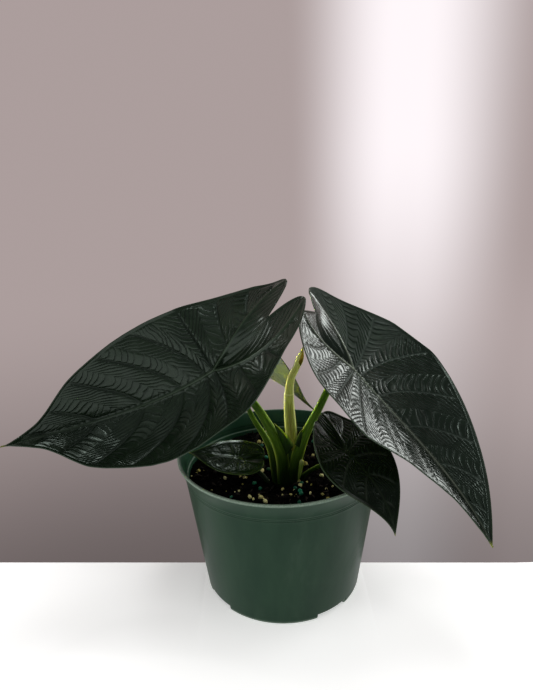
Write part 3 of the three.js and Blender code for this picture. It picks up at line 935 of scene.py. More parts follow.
@dataclass
class Blade:
    """One arrow-shaped blade: a flat leaf with veins, bent in space and given its two faces."""

    name: str
    node: str
    shape: BladeShape
    weave: Weave
    upper: LeafFinish
    lower: UnderFinish
    seed: int
    thickness: float = 0.8
    quilting: float = 1.0
    ridge: float = 0.42
    unevenness: float = 1.0
    valley: float = 2.4
    valley_power: tuple[float, float] = (1.3, 1.3)
    flutes: float = 0.5
    patchiness: float = 1.0
    dulled: float = 0.0
    wave: float = 1.2
    vein_depth: float = 0.85
    vein_width: float = 0.8
    costa_ridge: float = 1.2
    rib_height: float = 1.3
    rib_width: float = 0.8
    rim_width: float = 0.55
    keel_width: float = 1.7
    relief_half: float = 60.0
    front_crowding: float = 1.8
    front_root_crowding: float = 2.2
    lobe_crowding: float = 1.4
    lobe_root_crowding: float = 1.3
    vein_lean: float = 0.7
    row_crowding: float = 0.055
    share_crowding: float = 0.05
    wave_phase: float = 0.4
    spine_stations: int = 80
    margin_steps: int = 40
    valley_steps: int = 20
    costa_steps: int = 30

    def outline(self) -> tuple[Array, Array, Array]:
        """Flat outline of one half, with b of 0 or more.

        Returns:
            The outer margin from the lobe's end to the tip, the inner margin from the valley's
            corner to the lobe's end, and the costa from the stalk to the lobe's end.
        """
        s = self.shape
        end, side, steps = (-s.back, s.lobe), (s.widest, s.half), self.margin_steps
        outer = np.vstack([
            bezier(end, (-s.back, s.lobe + s.lobe_round * s.half),
                   (s.widest - s.shoulder * (s.back + s.widest), s.half), side, steps),
            bezier(side, (s.widest + s.belly * (s.front - s.widest), s.half),
                   (s.front - s.point * (s.front - s.widest), s.neck * s.half), (s.front, 0), steps)[1:],
        ])
        inner = bezier((-s.sinus, 0), (-s.sinus - s.sinus_round * (s.back - s.sinus), 0),
                       (-s.back, s.lobe - s.lobe_turn * s.half), end, self.valley_steps)
        costa = bezier((0, 0), (-0.35 * s.back, 0.2 * s.half),
                       (-0.8 * s.back, s.lobe + 0.14 * s.half), end, self.costa_steps)
        return outer, inner, costa

    def end_share(self, n: Array) -> Array:
        """How much of its part of the blade is left past vein number n."""
        s = self.shape
        return np.maximum(0.0, np.where(n >= 0, 1 - n / s.front_veins, 1 + n / s.lobe_veins))

    def row_ends(self, n: Array) -> tuple[Array, Array, Array]:
        """Where the rows at vein numbers n leave the rib and reach the margin.

        A row's share of its part is 1 - end_share ** crowding; its root is at that share, crowded
        again, of the midrib or of the costa, and its margin point at that share of the margin.

        Args:
            n: vein numbers, whole on each side vein, below 0 in the lobe.

        Returns:
            The roots, the margin points and the shares along the costa.
        """
        s = self.shape
        outer, _, costa = self.outline()
        front = n >= 0
        stalk_share = s.back / (s.back + s.front)
        share = 1 - self.end_share(n) ** np.where(front, self.front_crowding, self.lobe_crowding)
        margin = along_line(outer, np.where(front, stalk_share + (1 - stalk_share) * share,
                                            stalk_share * (1 - share)))
        inner = share**self.lobe_root_crowding
        midrib = np.stack([s.front * share**self.front_root_crowding, 0 * share], axis=-1)
        return np.where(front[:, None], midrib, along_line(costa, inner)), margin, inner

    def rows(self, n: Array, u: Array) -> Array:
        """Flat points at vein numbers n and shares u from the rib to the margin.

        Along the blade a point is root + (margin - root) * (u + lean * (u * u - u)), and across it
        root + (margin - root) * u.

        Args:
            n: vein numbers.
            u: shares of the way.

        Returns:
            A grid of flat points, a row for each vein number.
        """
        root, margin, _ = self.row_ends(n)
        leaned = u + self.vein_lean * (u * u - u)
        share = np.stack([leaned, u], axis=-1)
        return root[:, None] + (margin - root)[:, None] * share

    def vein_numbers(self) -> Array:
        """Vein numbers of the rows, dense at the side veins and half way between them.

        From one side vein to the next they rise by t - row_crowding * sin(4 * pi * t), with t even.

        Returns:
            The numbers, from the lobe's end to the tip.
        """
        s = self.shape
        t = evenly(self.weave.rows)[:-1]
        t = t - self.row_crowding * np.sin(2 * TURN * t)
        whole = np.arange(-s.lobe_veins, s.front_veins)
        return np.append((whole[:, None] + t).ravel(), float(s.front_veins))

    def fine_relief(self, v: dict[str, Array], keep: Array) -> Array:
        """Height of the small forms, on top of the solid's relief.

        It is the sum of bells over the distances to the side vein, the half-way vein, the rib and
        the margin, and of the leaned ridges of the cross veins.

        Args:
            v: the distances vein_mm, half_mm, rib_mm and edge_mm, and phase, lace and rib_keep.
            keep: how much is left of the side veins.

        Returns:
            The height in millimetres.
        """
        veins = swell(v["vein_mm"], self.vein_width) + 0.24 * swell(v["vein_mm"], 2.6)
        between = -0.2 * keep * swell(v["half_mm"], 0.8)
        rib = v["rib_keep"] * (0.7 * swell(v["rib_mm"], 0.8) - 0.5 * swell(v["rib_mm"] - 2.4, 1.2))
        rim = 0.22 * swell(v["edge_mm"], 0.7) - 0.26 * swell(v["edge_mm"] - 2.3, 0.9)
        ridges = self.ridge * v["lace"] * (leaned_ridge(v["phase"]) - 0.6)
        return -keep * self.vein_depth * veins + between + rib + rim + ridges

    def shown(self, v: dict[str, Array], hollow: Array, dull: Array) -> dict[str, Array]:
        """What the finish reads at each point.

        Args:
            v: what is known there.
            hollow: how deep in a vein it lies.
            dull: how much rougher it is.

        Returns:
            Those two, the phase and lace of the cross veins, and the shares of rib and rim.
        """
        rib = np.clip(v["rib_keep"] * swell(v["rib_mm"], self.rib_width), 0, 1)
        rim = 0.8 * swell(v["edge_mm"], self.rim_width)
        lace = np.clip(v["lace"], 0, 1)
        return {"phase": v["phase"], "lace": lace, "hollow": hollow, "dull": dull, "rib": rib, "rim": rim}

    def side_veins(
        self, n: Array, u: Array, flat: Array,
    ) -> tuple[Array, Array, Array]:
        """How the flat points lie between the side veins.

        Args:
            n: vein numbers of the rows.
            u: shares of the columns.
            flat: the points.

        Returns:
            The distance to the nearest side vein, half the way from one to the next, and the share
            of that half, from 0 at a side vein to 1 half way.
        """
        s = self.shape
        lines = self.rows(np.arange(-s.lobe_veins, s.front_veins + 1.0), u)
        ways = unit(np.gradient(lines, axis=1))
        nearest = np.clip(np.round(n), 1 - s.lobe_veins, s.front_veins - 1).astype(int) + s.lobe_veins
        vein = off_line(flat, lines[nearest], ways[nearest])
        floor = np.clip(np.floor(n), -s.lobe_veins, s.front_veins - 1).astype(int)
        low = floor + s.lobe_veins
        from_low, from_next = (off_line(lines[low + 1], lines[low], ways[at]) for at in (low, low + 1))
        return vein, 0.5 * np.maximum(from_low, from_next), (1 - np.abs(2 * (n - floor) - 1))[:, None]

    def outer_patch(self, n: Array, size: float) -> Patch:
        """The part of one half outside its rib, with its veins.

        The cross veins leave a side vein steeply and meet half way to the next in a chevron that
        points to the margin: phase = (row - spacing * (0.35 * s + 0.5 * s * s)) / pitch, with s
        from 0 at a side vein to 1 half way, and noise on top. The blade quilts up between the side
        veins by |sin(pi * n)| ** 0.8 * sin(pi * u), its margin waves by u ** 3 * sin(pi * n), and
        everything fades with what is left of the part.

        Args:
            n: vein numbers of the rows.
            size: scale of the relief.

        Returns:
            The patch.
        """
        u = evenly(self.weave.outer)
        u = u - self.share_crowding * np.sin(TURN * u)
        flat = self.rows(n, u)
        end = self.end_share(n)[:, None]
        left = np.sqrt(end)
        root, margin, _ = self.row_ends(n)
        vein, spacing, half = self.side_veins(n, u, flat)
        row = reaches(flat)
        edge = off_line(flat, margin[:, None], unit(np.gradient(margin, axis=0))[:, None])
        edge = np.minimum(edge, np.linalg.norm(flat - margin[:, None], axis=-1))
        way = np.where((n > 0)[:, None], (1.0, 0.0), unit(np.gradient(root, axis=0)))
        rib = np.minimum(off_line(flat, root[:, None], way[:, None]), row)
        layer = np.full((*flat.shape[:2], 1), SEED_LAYER * self.seed)
        seeded = np.concatenate([flat, layer], axis=-1)
        wander = noise(seeded, 14.0, self.seed)
        phase = (row - spacing * (0.35 * half + 0.5 * half**2)) / self.weave.pitch
        phase = phase + 0.85 * noise(seeded, 13.0, self.seed + 1) + 0.2 * noise(seeded, 5.0, self.seed + 4)
        patchy = self.patchiness * (0.45 * wander + 0.4 * noise(seeded, 8.0, self.seed + 9))
        lace = (smooth(0.3, 1.2, vein) * smooth(0.9, 2.6, rib) * smooth(1.8, 5.0, edge)
                * (0.8 + patchy) * (0.4 + 0.6 * end) * (1 - 0.35 * half**2))
        v = {
            "vein_mm": vein, "edge_mm": edge, "rib_mm": rib, "phase": phase,
            "half_mm": np.abs(spacing * (1 - half) + 0.9 * wander), "lace": np.clip(lace, 0.0, 1.2),
            "rib_keep": left * np.ones_like(row) * np.clip(size, 0.4, 1.0),
        }
        keep = np.clip(row / 4, 0, 1) * smooth(1.5, 6.0, edge) * end**0.4
        quilt = self.quilting * np.abs(np.sin(np.pi * n))[:, None] ** 0.8 * np.sin(np.pi * u) * left
        wave = self.wave * u**3 * np.sin(np.pi * (n + self.wave_phase))[:, None] * left
        ridge = np.where(n < 0, 1, 0)[:, None] * self.costa_ridge * (1 - u) ** 3 * np.sin(np.pi * end)
        height = size * (quilt + wave + ridge) + np.sqrt(size) * self.fine_relief(v, keep)
        rough = 0.5 * noise(seeded, 17.0, self.seed + 2) + 0.25 * noise(seeded, 7.0, self.seed + 6)
        height += self.unevenness * size * rough * smooth(0, 12, rib)
        keel = self.rib_height * size * left * swell(rib, self.keel_width)
        keel = keel + 0.45 * np.sqrt(size) * keep * swell(vein, 0.8)
        hollow = keep * swell(vein, self.vein_width)
        hollow = hollow + 0.35 * keep * swell(v["half_mm"], 0.75 * self.vein_width)
        dull = self.dulled * smooth(2.0, 6.0, row) * (1 - smooth(-0.4, 0.9, n))[:, None]
        return Patch(flat, height, keel, self.shown(v, hollow, dull))

    def inner_patch(self, n: Array, outer: Patch, size: float, power: float) -> Patch:
        """The fluted part between the costa and the valley or the inner margin.

        A row runs straight from the costa to the valley's line or to the inner margin, and hangs
        by valley * sin(pi * share of the valley) * w ** power, with w from 0 to 1 along it.

        Args:
            n: vein numbers of all rows.
            outer: the outer patch, which starts on the same costa.
            size: scale of the relief.
            power: power of w with which it falls to the valley.

        Returns:
            The patch.
        """
        s = self.shape
        lobe = n <= 0
        _, inner, _ = self.outline()
        shares = self.row_ends(n[lobe])[2]
        corner = s.sinus / (s.sinus + np.linalg.norm(inner[-1] - inner[0]))
        shares[np.argmin(np.abs(shares - corner))] = corner
        valley = np.stack([-s.sinus * shares / corner, 0 * shares], axis=-1)
        past = np.clip((shares - corner) / (1 - corner), 0, 1)
        ends = np.where((shares <= corner)[:, None], valley, along_line(inner, past))
        start = outer.flat[lobe, 0]
        w = evenly(self.weave.inner)
        flat = start[:, None] + (ends - start)[:, None] * w[None, :, None]
        row = np.linalg.norm(flat - start[:, None], axis=-1)
        to_end = np.linalg.norm(flat - ends[:, None], axis=-1)
        at_margin = smooth(-2.0, 3.0, past * length_of(inner))[:, None]
        edge = to_end + FAR * (1 - at_margin)
        left = np.sqrt(self.end_share(n[lobe])[:, None])
        way = unit(np.gradient(start, axis=0))
        rib = np.minimum(off_line(flat, start[:, None], way[:, None]), row)
        phase = row / (0.62 * self.weave.pitch) - (shares * s.back)[:, None] / (1.7 * self.weave.pitch)
        rib_keep = left * np.clip(size, 0.4, 1.0)
        lace = self.flutes * smooth(1.0, 3.0, rib) * smooth(0.8, 3.0, edge) * smooth(0.5, 3.0, to_end)
        v = {"vein_mm": FAR + 0 * row, "half_mm": FAR + 0 * row, "rib_mm": rib, "edge_mm": edge,
             "phase": phase, "lace": lace, "rib_keep": rib_keep}
        hang = size * self.valley * np.sin(np.pi * np.clip(shares / corner, 0, 1))[:, None] * w**power
        fine = self.fine_relief(v, np.zeros_like(row))
        fine = np.sqrt(size) * (fine - fine[:, :1] * (1 - w) ** 2) * smooth(0.0, 0.4, w)
        height = outer.height[lobe, :1] * (1 - w) ** 2 - hang + fine
        keel = self.rib_height * size * left * swell(rib, self.keel_width)
        return Patch(flat, height, keel, self.shown(v, 0 * row, 0 * row))

    def spine(self) -> dict[str, Array]:
        """The bent midrib: its places and directions at even steps of a.

        The spine follows (cos pitch cos heading, cos pitch sin heading, sin pitch), and its normal
        is the upright one turned by roll.

        Returns:
            Arrays a, place, normal and across.
        """
        s = self.shape
        a = np.linspace(-s.back, s.front, self.spine_stations + 1)
        q = np.where(a < 0, a / s.back, a / s.front)
        heading, pitch, roll = (np.radians(bend_law(law, q)) for law in (s.heading, s.pitch, s.roll))
        level = np.stack([np.cos(heading), np.sin(heading)], axis=-1)
        rise, run = np.sin(pitch)[:, None], np.cos(pitch)[:, None]
        along = np.concatenate([level * run, rise], axis=-1)
        upright = np.concatenate([-level * rise, run], axis=-1)
        sideways = np.cross(upright, along)
        normal = upright * np.cos(roll)[:, None] + sideways * np.sin(roll)[:, None]
        step = a[1] - a[0]
        place = np.concatenate([np.zeros((1, 3)), np.cumsum((along[1:] + along[:-1]) * step / 2, axis=0)])
        at_stalk = np.array([np.interp(0.0, a, place[:, i]) for i in range(3)])
        return {"a": a, "place": place + np.array(s.stalk) - at_stalk, "normal": normal,
                "across": np.cross(normal, along)}

    def bend(self, flat: Array) -> Array:
        """Bends flat points: each half leaves the midrib at its fold and curls in an arc.

        With k the curvature and turned = fold - k * |b|, the half reaches
        (sin fold - sin turned) / k across and (cos turned - cos fold) / k up.

        Args:
            flat: points of a and b.

        Returns:
            Their places in space.
        """
        s = self.shape
        spine = self.spine()
        a, b = flat[:, 0], flat[:, 1]
        at = {key: np.stack([np.interp(a, spine["a"], spine[key][:, i]) for i in range(3)], -1)
              for key in ("place", "normal", "across")}
        q = np.where(a < 0, a / s.back, a / s.front)
        left = b >= 0
        fold = np.radians(np.where(left, bend_law(s.fold_left, q), bend_law(s.fold_right, q)))
        curve = np.radians(np.where(left, s.curl_left, s.curl_right)) / s.half
        turned = fold - curve * np.abs(b)
        reach = (np.sin(fold) - np.sin(turned)) / curve
        lift = (np.cos(turned) - np.cos(fold)) / curve
        return (at["place"] + unit(at["across"]) * np.where(left, reach, -reach)[:, None]
                + unit(at["normal"]) * lift[:, None])

    def build(self) -> bpy.types.Object:
        """Joins the four patches, bends them and closes the margin between the two faces.

        Returns:
            The blade.
        """
        s = self.shape
        n = self.vein_numbers()
        size = s.half / self.relief_half
        outer = self.outer_patch(n, size)
        left, right = (self.inner_patch(n, outer, size, power) for power in self.valley_power)
        patches, sides = [outer, left, outer, right], (1.0, 1.0, -1.0, -1.0)
        faces, count = [], 0
        for patch in patches:
            grid = np.arange(patch.height.size).reshape(patch.height.shape)
            faces.append(grid_faces(grid + count))
            count += patch.height.size
        flat = np.vstack([patch.flat.reshape(-1, 2) * (1.0, side) for patch, side in zip(patches, sides)])
        _, first, back = np.unique(np.round(flat, 3) + 0.0, axis=0, return_index=True, return_inverse=True)
        faces = back.reshape(-1)[np.vstack(faces)]
        flat = flat[first]
        height, keel = (np.concatenate([getattr(patch, part).ravel() for patch in patches])[first]
                        for part in ("height", "keel"))
        values = {name: np.concatenate([patch.values[name].ravel() for patch in patches])[first]
                  for name in outer.values}
        a, b = flat[faces][..., 0], flat[faces][..., 1]
        area = sum((a * np.roll(b, -1, axis=1) - b * np.roll(a, -1, axis=1)).T)
        faces = np.where((area > 0)[:, None], faces, faces[:, ::-1])
        faces = faces[np.abs(area) > NO_AREA]
        middle = self.bend(flat)
        normals = point_normals(middle, faces)
        values["tip"] = 1 - smooth(0.5, 0.025 * s.front + 1.0, s.front - flat[:, 0])
        values["dull"] = values["dull"] * (flat[:, 1] > 0)
        top = middle + normals * (height + self.thickness / 2)[:, None]
        under = middle + normals * (height - self.thickness / 2 - keel)[:, None]
        total = len(flat)
        i, j = open_edges(faces).T
        wall = np.stack([i, i + total, j + total, j], axis=-1)
        dress = np.concatenate([np.zeros(len(faces)), np.ones(len(faces)), np.zeros(len(wall))])
        both = {name: np.concatenate([value, value]) for name, value in values.items()}
        shell = Shell()
        shell.add(np.vstack([top, under]), np.vstack([faces, faces[:, ::-1] + total, wall]), dress, **both)
        return place_piece(shell, self.name, [self.upper, self.lower], self.node)


def point_normals(points: Array, faces: Array) -> Array:
    """Area-weighted normals at the points: sums of cross(diagonal, other diagonal).

    Args:
        points: places, one a row.
        faces: four indices a row.

    Returns:
        One unit vector for each point.
    """
    corner = points[faces]
    turn = np.cross(corner[:, 2] - corner[:, 0], corner[:, 3] - corner[:, 1])
    normals = np.zeros_like(points)
    for axis in range(3):
        weights = np.repeat(turn[:, axis], 4)
        normals[:, axis] = np.bincount(faces.ravel(), weights, len(points))
    return unit(normals)


def open_edges(faces: Array) -> Array:
    """Directed edges that only one face has.

    Args:
        faces: four indices a row; a repeated index makes a triangle.

    Returns:
        Two indices a row.
    """
    start, stop = faces.ravel(), np.roll(faces, -1, axis=1).ravel()
    real = start != stop
    start, stop = start[real], stop[real]
    size = int(faces.max()) + 1
    alone = ~np.isin(start * size + stop, stop * size + start)
    return np.stack([start[alone], stop[alone]], axis=-1)


# Stalks, crown and rolled leaf


@dataclass
class Stalk:
    """A leaf stalk: a tube through its solid's stations, with a channel and sheath wings."""

    name: str
    node: str
    stations: tuple[Station, ...]
    finish: StalkFinish
    facing: Point = (0.0, -1.0, 0.25)
    sheath: float = 0.0
    wing: float = 0.22
    wing_angles: tuple[float, float] = (-1.3, 1.3)
    wing_width: float = 0.16
    channel: float = 0.10
    channel_width: float = 0.55
    # height, number and phase of each set of ribs
    ribs: tuple[tuple[float, int, float], ...] = ((0.012, 9, 2.0), (0.01, 14, 0.0))
    end_power: int = 40
    shaded_z: tuple[float, float] = (104.0, 142.0)
    paled_z: tuple[float, float] = (98.0, 128.0)
    rings: int = 150
    sides: int = 40

    def build(self) -> bpy.types.Object:
        """Carries the section along the path.

        The radius is the station's, times 1 plus the ribs, less a bell at the channel on the
        front, plus two bells for the wings. The wings fade out over the last part of the sheath,
        and the ends are rounded by the root of 1 - (2 * share - 1) ** 40.

        Returns:
            The stalk.
        """
        path = Path.through(self.stations, self.facing, self.rings)
        angle, share = round_angles(self.sides), path.share
        wings = sum(swell(wrapped(angle - at), self.wing_width) for at in self.wing_angles)
        grown = (1 - smooth(0.6 * self.sheath, self.sheath, share)) if self.sheath else 0 * share
        ribs = sum(high * np.sin(count * angle + phase) for high, count, phase in self.ribs)
        channel = -self.channel * swell(wrapped(angle), self.channel_width)
        radius = path.radius() * (1 + ribs + channel * (1 - 0.6 * grown) + self.wing * wings * grown)
        rounded = np.sqrt(np.clip(1 - (2 * share - 1) ** self.end_power, 0, 1))
        places = path.around(path.closed(radius * np.maximum(rounded, 0.6)), angle)
        shaded, paled = (smooth(*band, places[..., 2]) for band in (self.shaded_z, self.paled_z))
        shell = Shell()
        shell.add_grid(
            places, wrap=True, grain=path.grain(path.radius(), angle, path.length()),
            # pale wings that run on past the sheath as a painted rim highlight, and painted shade at the
            # foot, darkest on the front
            edge=0.85 * wings * (0.5 + 0.5 * grown) * paled,
            foot=(1 - shaded) * (0.68 + 0.32 * np.cos(angle)),
        )
        return place_piece(shell, self.name, [self.finish], self.node)


def there_and_back(front: Array, behind: Array) -> Array:
    """A sheet's front grid, then its back the other way and its first row again."""
    return np.concatenate([front, behind[::-1], front[:1]])


@dataclass(frozen=True)
class Flap:
    """A thin free flap of a sheath: its fixed edge, its loose edge, its bow and its bulge."""

    fixed: tuple[Point, Point]
    loose: tuple[Point, Point]
    bow: float
    bulge: Point
    thickness: float = 0.35
    across: int = 14
    along: int = 26

    def add_to(self, shell: Shell) -> None:
        """Adds the flap, with both its faces and closed ends.

        With u from the fixed to the loose edge and v along them, a place is
        fixed + (loose - fixed) * u + bulge * 4 * v * (1 - v) * u ** 1.5, and the sheet bows to the
        viewer by bow * sin(pi * u).

        Args:
            shell: the mesh to add to.
        """
        u = evenly(self.across)[:, None, None]
        v = evenly(self.along)[None, :, None]
        fixed, loose = (start + (stop - start) * v for start, stop in np.array([self.fixed, self.loose]))
        places = fixed + (loose - fixed) * u + np.array(self.bulge) * 4 * v * (1 - v) * u**1.5
        front = places + np.array([0.0, -1.0, 0.0]) * np.sin(np.pi * u) * self.bow
        dress = np.dstack([places, smooth(0.8, 1.0, u[..., 0]) + 0 * v[..., 0]])
        sheet = there_and_back(front, front + np.array([0.0, self.thickness, 0.0]))
        closed = ((0, 0), (1, 1), (0, 0))
        sheet, dress = np.pad(sheet, closed, "edge"), np.pad(there_and_back(dress, dress), closed, "edge")
        sheet[:, [0, -1]] = sheet[:, [1, -2]].mean(axis=0)
        rim = dress[..., 3]
        # pale loose edge, and painted shade over the rest of the flap
        shell.add_grid(sheet, grain=dress[..., :3], edge=0.9 * rim, foot=0.75 * (1 - rim))


@dataclass
class Crown:
    """The stem base: leaf sheaths wrapped round each other, a pale stub and two sheath flaps."""

    finish: StalkFinish
    stub_finish: StalkFinish
    node: str = "stem_base"
    stations: tuple[Station, ...] = (
        (3, -21, 64, 7.6), (3, -22, 84, 8.2), (3, -22, 98, 7.4), (3.5, -21.5, 109, 6.4),
        (5, -21.5, 119, 5.2), (7.5, -22, 128, 3.4),
    )
    stub: tuple[Station, ...] = (
        (11.5, -25, 100, 2.2), (13.0, -26, 108, 2.1), (14.6, -26.8, 115, 1.9), (15.2, -27.2, 118.3, 1.3),
    )
    # start angle of each sheath's free edge, its turn up the stem in radians, and its step
    sheaths: tuple[Point, ...] = (
        (0.35, 0.9, 0.08), (-1.5, -0.7, 0.07), (2.6, 0.6, 0.06),
    )
    flaps: tuple[Flap, ...] = (
        Flap(((-5.0, -25.0, 146), (3.6, -27.5, 122)), ((-5.2, -24.6, 147.5), (9.4, -27.0, 130)),
             bow=0.7, bulge=(0.9, -1.5, 1.5)),
        Flap(((17.0, -25.2, 142), (13.6, -27.0, 128)), ((16.6, -25.4, 143), (10.0, -27.2, 131)),
             bow=0.5, bulge=(-0.8, -0.9, 1.4)),
    )
    grain_length: float = 65.0
    shaded_z: tuple[float, float] = (97.0, 124.0)
    rings: int = 120
    sides: int = 96
    stub_grain_length: float = 20.0
    stub_rings: int = 36
    stub_sides: int = 32

    def trunk(self, shell: Shell) -> None:
        """Adds the wrapped stem.

        Each sheath adds a step that rises over 0.12 radians at its free edge and fades from 0.3 to
        1.9 radians past it, and its edge is pale.

        Args:
            shell: the mesh to add to.
        """
        path = Path.through(self.stations, (0.0, -1.0, 0.1), self.rings)
        angle = round_angles(self.sides)
        rise = edge = 0 * path.share * angle
        for start, turn, step in self.sheaths:
            past = np.mod(angle - start - turn * path.share, TURN)
            rise = rise + step * smooth(0.0, 0.12, past) * (1 - smooth(0.3, 1.9, past))
            edge = np.maximum(edge, swell(past - 0.14, 0.07))
        radius = path.radius() * (0.96 + rise + 0.02 * np.sin(2 * angle + 0.6))
        places = path.around(path.closed(radius), angle)
        grain = path.grain(path.radius(), angle, self.grain_length)
        # painted shade: the trunk darkens towards the mix
        foot = 1 - smooth(*self.shaded_z, places[..., 2])
        shell.add_grid(places, wrap=True, grain=grain, edge=0.6 * edge, foot=foot)

    def cut_stub(self, shell: Shell) -> None:
        """Adds the pale stub of a cut stalk, a little three- and five-sided and pale at its end.

        Args:
            shell: the mesh to add to.
        """
        path = Path.through(self.stub, (0.0, -1.0, 0.3), self.stub_rings)
        angle, share = round_angles(self.stub_sides), path.share
        uneven = 1 + 0.05 * np.sin(5 * angle) + 0.06 * np.sin(3 * angle + 5 * share)
        places = path.around(path.closed(path.radius() * uneven), angle)
        grain = path.grain(path.radius(), angle, self.stub_grain_length)
        shell.add_grid(places, wrap=True, dress=1, grain=grain, edge=0.5 * smooth(0.75, 1.0, share))

    def build(self) -> bpy.types.Object:
        """Builds the trunk, stub and flaps as one piece.

        Returns:
            The crown.
        """
        shell = Shell()
        self.trunk(shell)
        self.cut_stub(shell)
        for flap in self.flaps:
            flap.add_to(shell)
        finishes = [self.finish, self.stub_finish]
        return place_piece(shell, "sheathed_crown", finishes, self.node)


@dataclass
class RolledLeaf:
    """The new leaf: one thin sheet wound round itself, open at a dried mouth near its tip."""

    finish: StalkFinish
    inside: CrumbFinish
    node: str = "new_shoot"
    stations: tuple[Station, ...] = (
        (8.5, -22.5, 124, 2.6), (8, -23, 134, 3.9), (7, -24, 148, 4.1), (6.5, -24, 169, 3.4),
        (8, -24.5, 182, 2.9), (11.5, -25, 190, 2.5), (15, -26, 197.5, 2.0), (17, -27, 206.5, 0.5),
    )
    keels: tuple[float, float] = (-1.0, 1.05)
    keel_height: float = 0.05
    keel_width: float = 0.2
    # shares of the length over which the mouth opens, dries and closes to the tip
    opens: tuple[float, float] = (0.80, 0.88)
    dries: tuple[float, float] = (0.84, 0.9)
    closes: tuple[float, float] = (0.93, 1.0)
    winding: float = 1.18
    drawn_back: float = 0.52
    collar_z: float = 170.6
    collar_step: float = 0.05
    grain_radius: float = 4.0
    lining_tone: float = 0.55
    rings: int = 170
    turns: int = 72
    thickness: float = 0.35

    def build(self) -> bpy.types.Object:
        """Winds the sheet: radius r * (0.95 + 0.07 * w), with w from 0 to 1 over the winding.

        The winding is 1.18 turns, and falls by up to 0.52 of a turn at the mouth, where both edges
        draw in and show the inside. Below the collar the stem is a twentieth thicker, with a bell
        on the collar itself, and ribs and two keels run all along it.

        Returns:
            The rolled leaf.
        """
        path = Path.through(self.stations, (0.0, -1.0, 0.0), self.rings)
        share, thick = path.share, path.radius()
        w = evenly(self.turns)
        tip = smooth(*self.closes, share)
        gape = smooth(*self.opens, share) * (1 - 0.3 * tip)
        first = 0.55 + 0.55 * smooth(0.55, 0.8, share) + 0.6 * gape
        angle = first + w * TURN * (self.winding - self.drawn_back * gape)
        curl = 1 - 0.25 * gape * swell(w - 1, 0.1) - 0.15 * gape * swell(w, 0.1)
        keels = sum(swell(wrapped(angle - at), self.keel_width) for at in self.keels)
        ribbed = 1 + 0.012 * np.sin(11 * angle) + self.keel_height * keels
        over = path.line[:, 2:3] - self.collar_z
        collar = 1 + self.collar_step * (1 - smooth(-0.3, 0.3, over)) + self.collar_step * swell(over, 0.45)
        radius = thick * (0.95 + 0.07 * w) * curl * ribbed * (1 + 0.5 * gape * (1 - tip)) * collar
        border = swell(w - 1, 0.03) + swell(w, 0.03)
        dry = 0.8 * smooth(*self.dries, share) * (0.35 + 0.65 * np.clip(border, 0, 1))
        # painted rim light along the borders and keels, a painted lift over the upper part and a painted
        # highlight just above the collar
        rim_light = (0.7 * border + 0.95 * keels) * (0.45 + 0.55 * smooth(0.12, 0.5, share))
        rim_light = np.clip(rim_light + 0.15 * smooth(0.4, 0.7, share) + 0.6 * swell(over - 0.2, 0.3), 0, 1)
        # painted shade down the front of the lower part
        front_shade = 0.75 * swell(wrapped(angle), 0.5) * (1 - smooth(0.35, 0.6, share))
        grain = path.grain(self.grain_radius, angle, path.length())
        outer, inner = (
            np.dstack([path.around(np.maximum(radius - inset, 0.12 * thick), angle), grain, edge, foot])
            for inset, edge, foot in (
                (0.0, rim_light, np.clip(dry + front_shade, 0, 1)), (self.thickness, 0 * rim_light, np.clip(dry, 0, 1)),
            )
        )
        sheet = np.pad(np.hstack([outer, inner[:, ::-1]]), ((1, 1), (0, 0), (0, 0)), "edge")
        sheet[[0, -1], :, :3] = path.line[[0, -1], None, :3]
        lining = np.zeros((len(sheet) - 1, sheet.shape[1]), int)
        lining[:, self.turns + 1: -1] = 1
        shell = Shell()
        shell.add_grid(
            sheet[..., :3], wrap=True, dress=lining.ravel(), grain=sheet[..., 3:6],
            edge=sheet[..., 6], foot=sheet[..., 7], tone=self.lining_tone,
        )
        return place_piece(shell, "rolled_leaf", [self.finish, self.inside], self.node)


# Pot and potting mix

# sections of the pot: rows of radius, height, and wear with a painted highlight
FOOT_RING = (
    (0, 0, 0), (30, 0, 0), (47.3, 0, 0), (47.7, 0, 0), (58.3, 0, 0), (61.3, 0, 0.2), (62.4, 0.3, 0.5),
    (63.1, 0.9, 0.7), (63.5, 2.0, 0.4),
)
COLLAR_STEP = (
    (76.80, 96.8, 0.1), (76.45, 97.2, 0), (76.5, 97.5, 0), (76.95, 97.9, 0.12), (77.0, 98.5, 0),
    (76.75, 98.9, 0), (77.2, 99.3, 0.1), (77.35, 99.9, 0),
)
RIM_EDGE = ((82.25, 111.95, 0.1), (82.4, 112.3, 0.6), (82.48, 112.9, 0.9), (82.5, 113.4, 1.0))
RIM_INSIDE = ((81.5, 113.97, 0.9), (81.1, 113.93, 0.1), (80.4, 113.7, 0), (79.95, 113.1, 0))


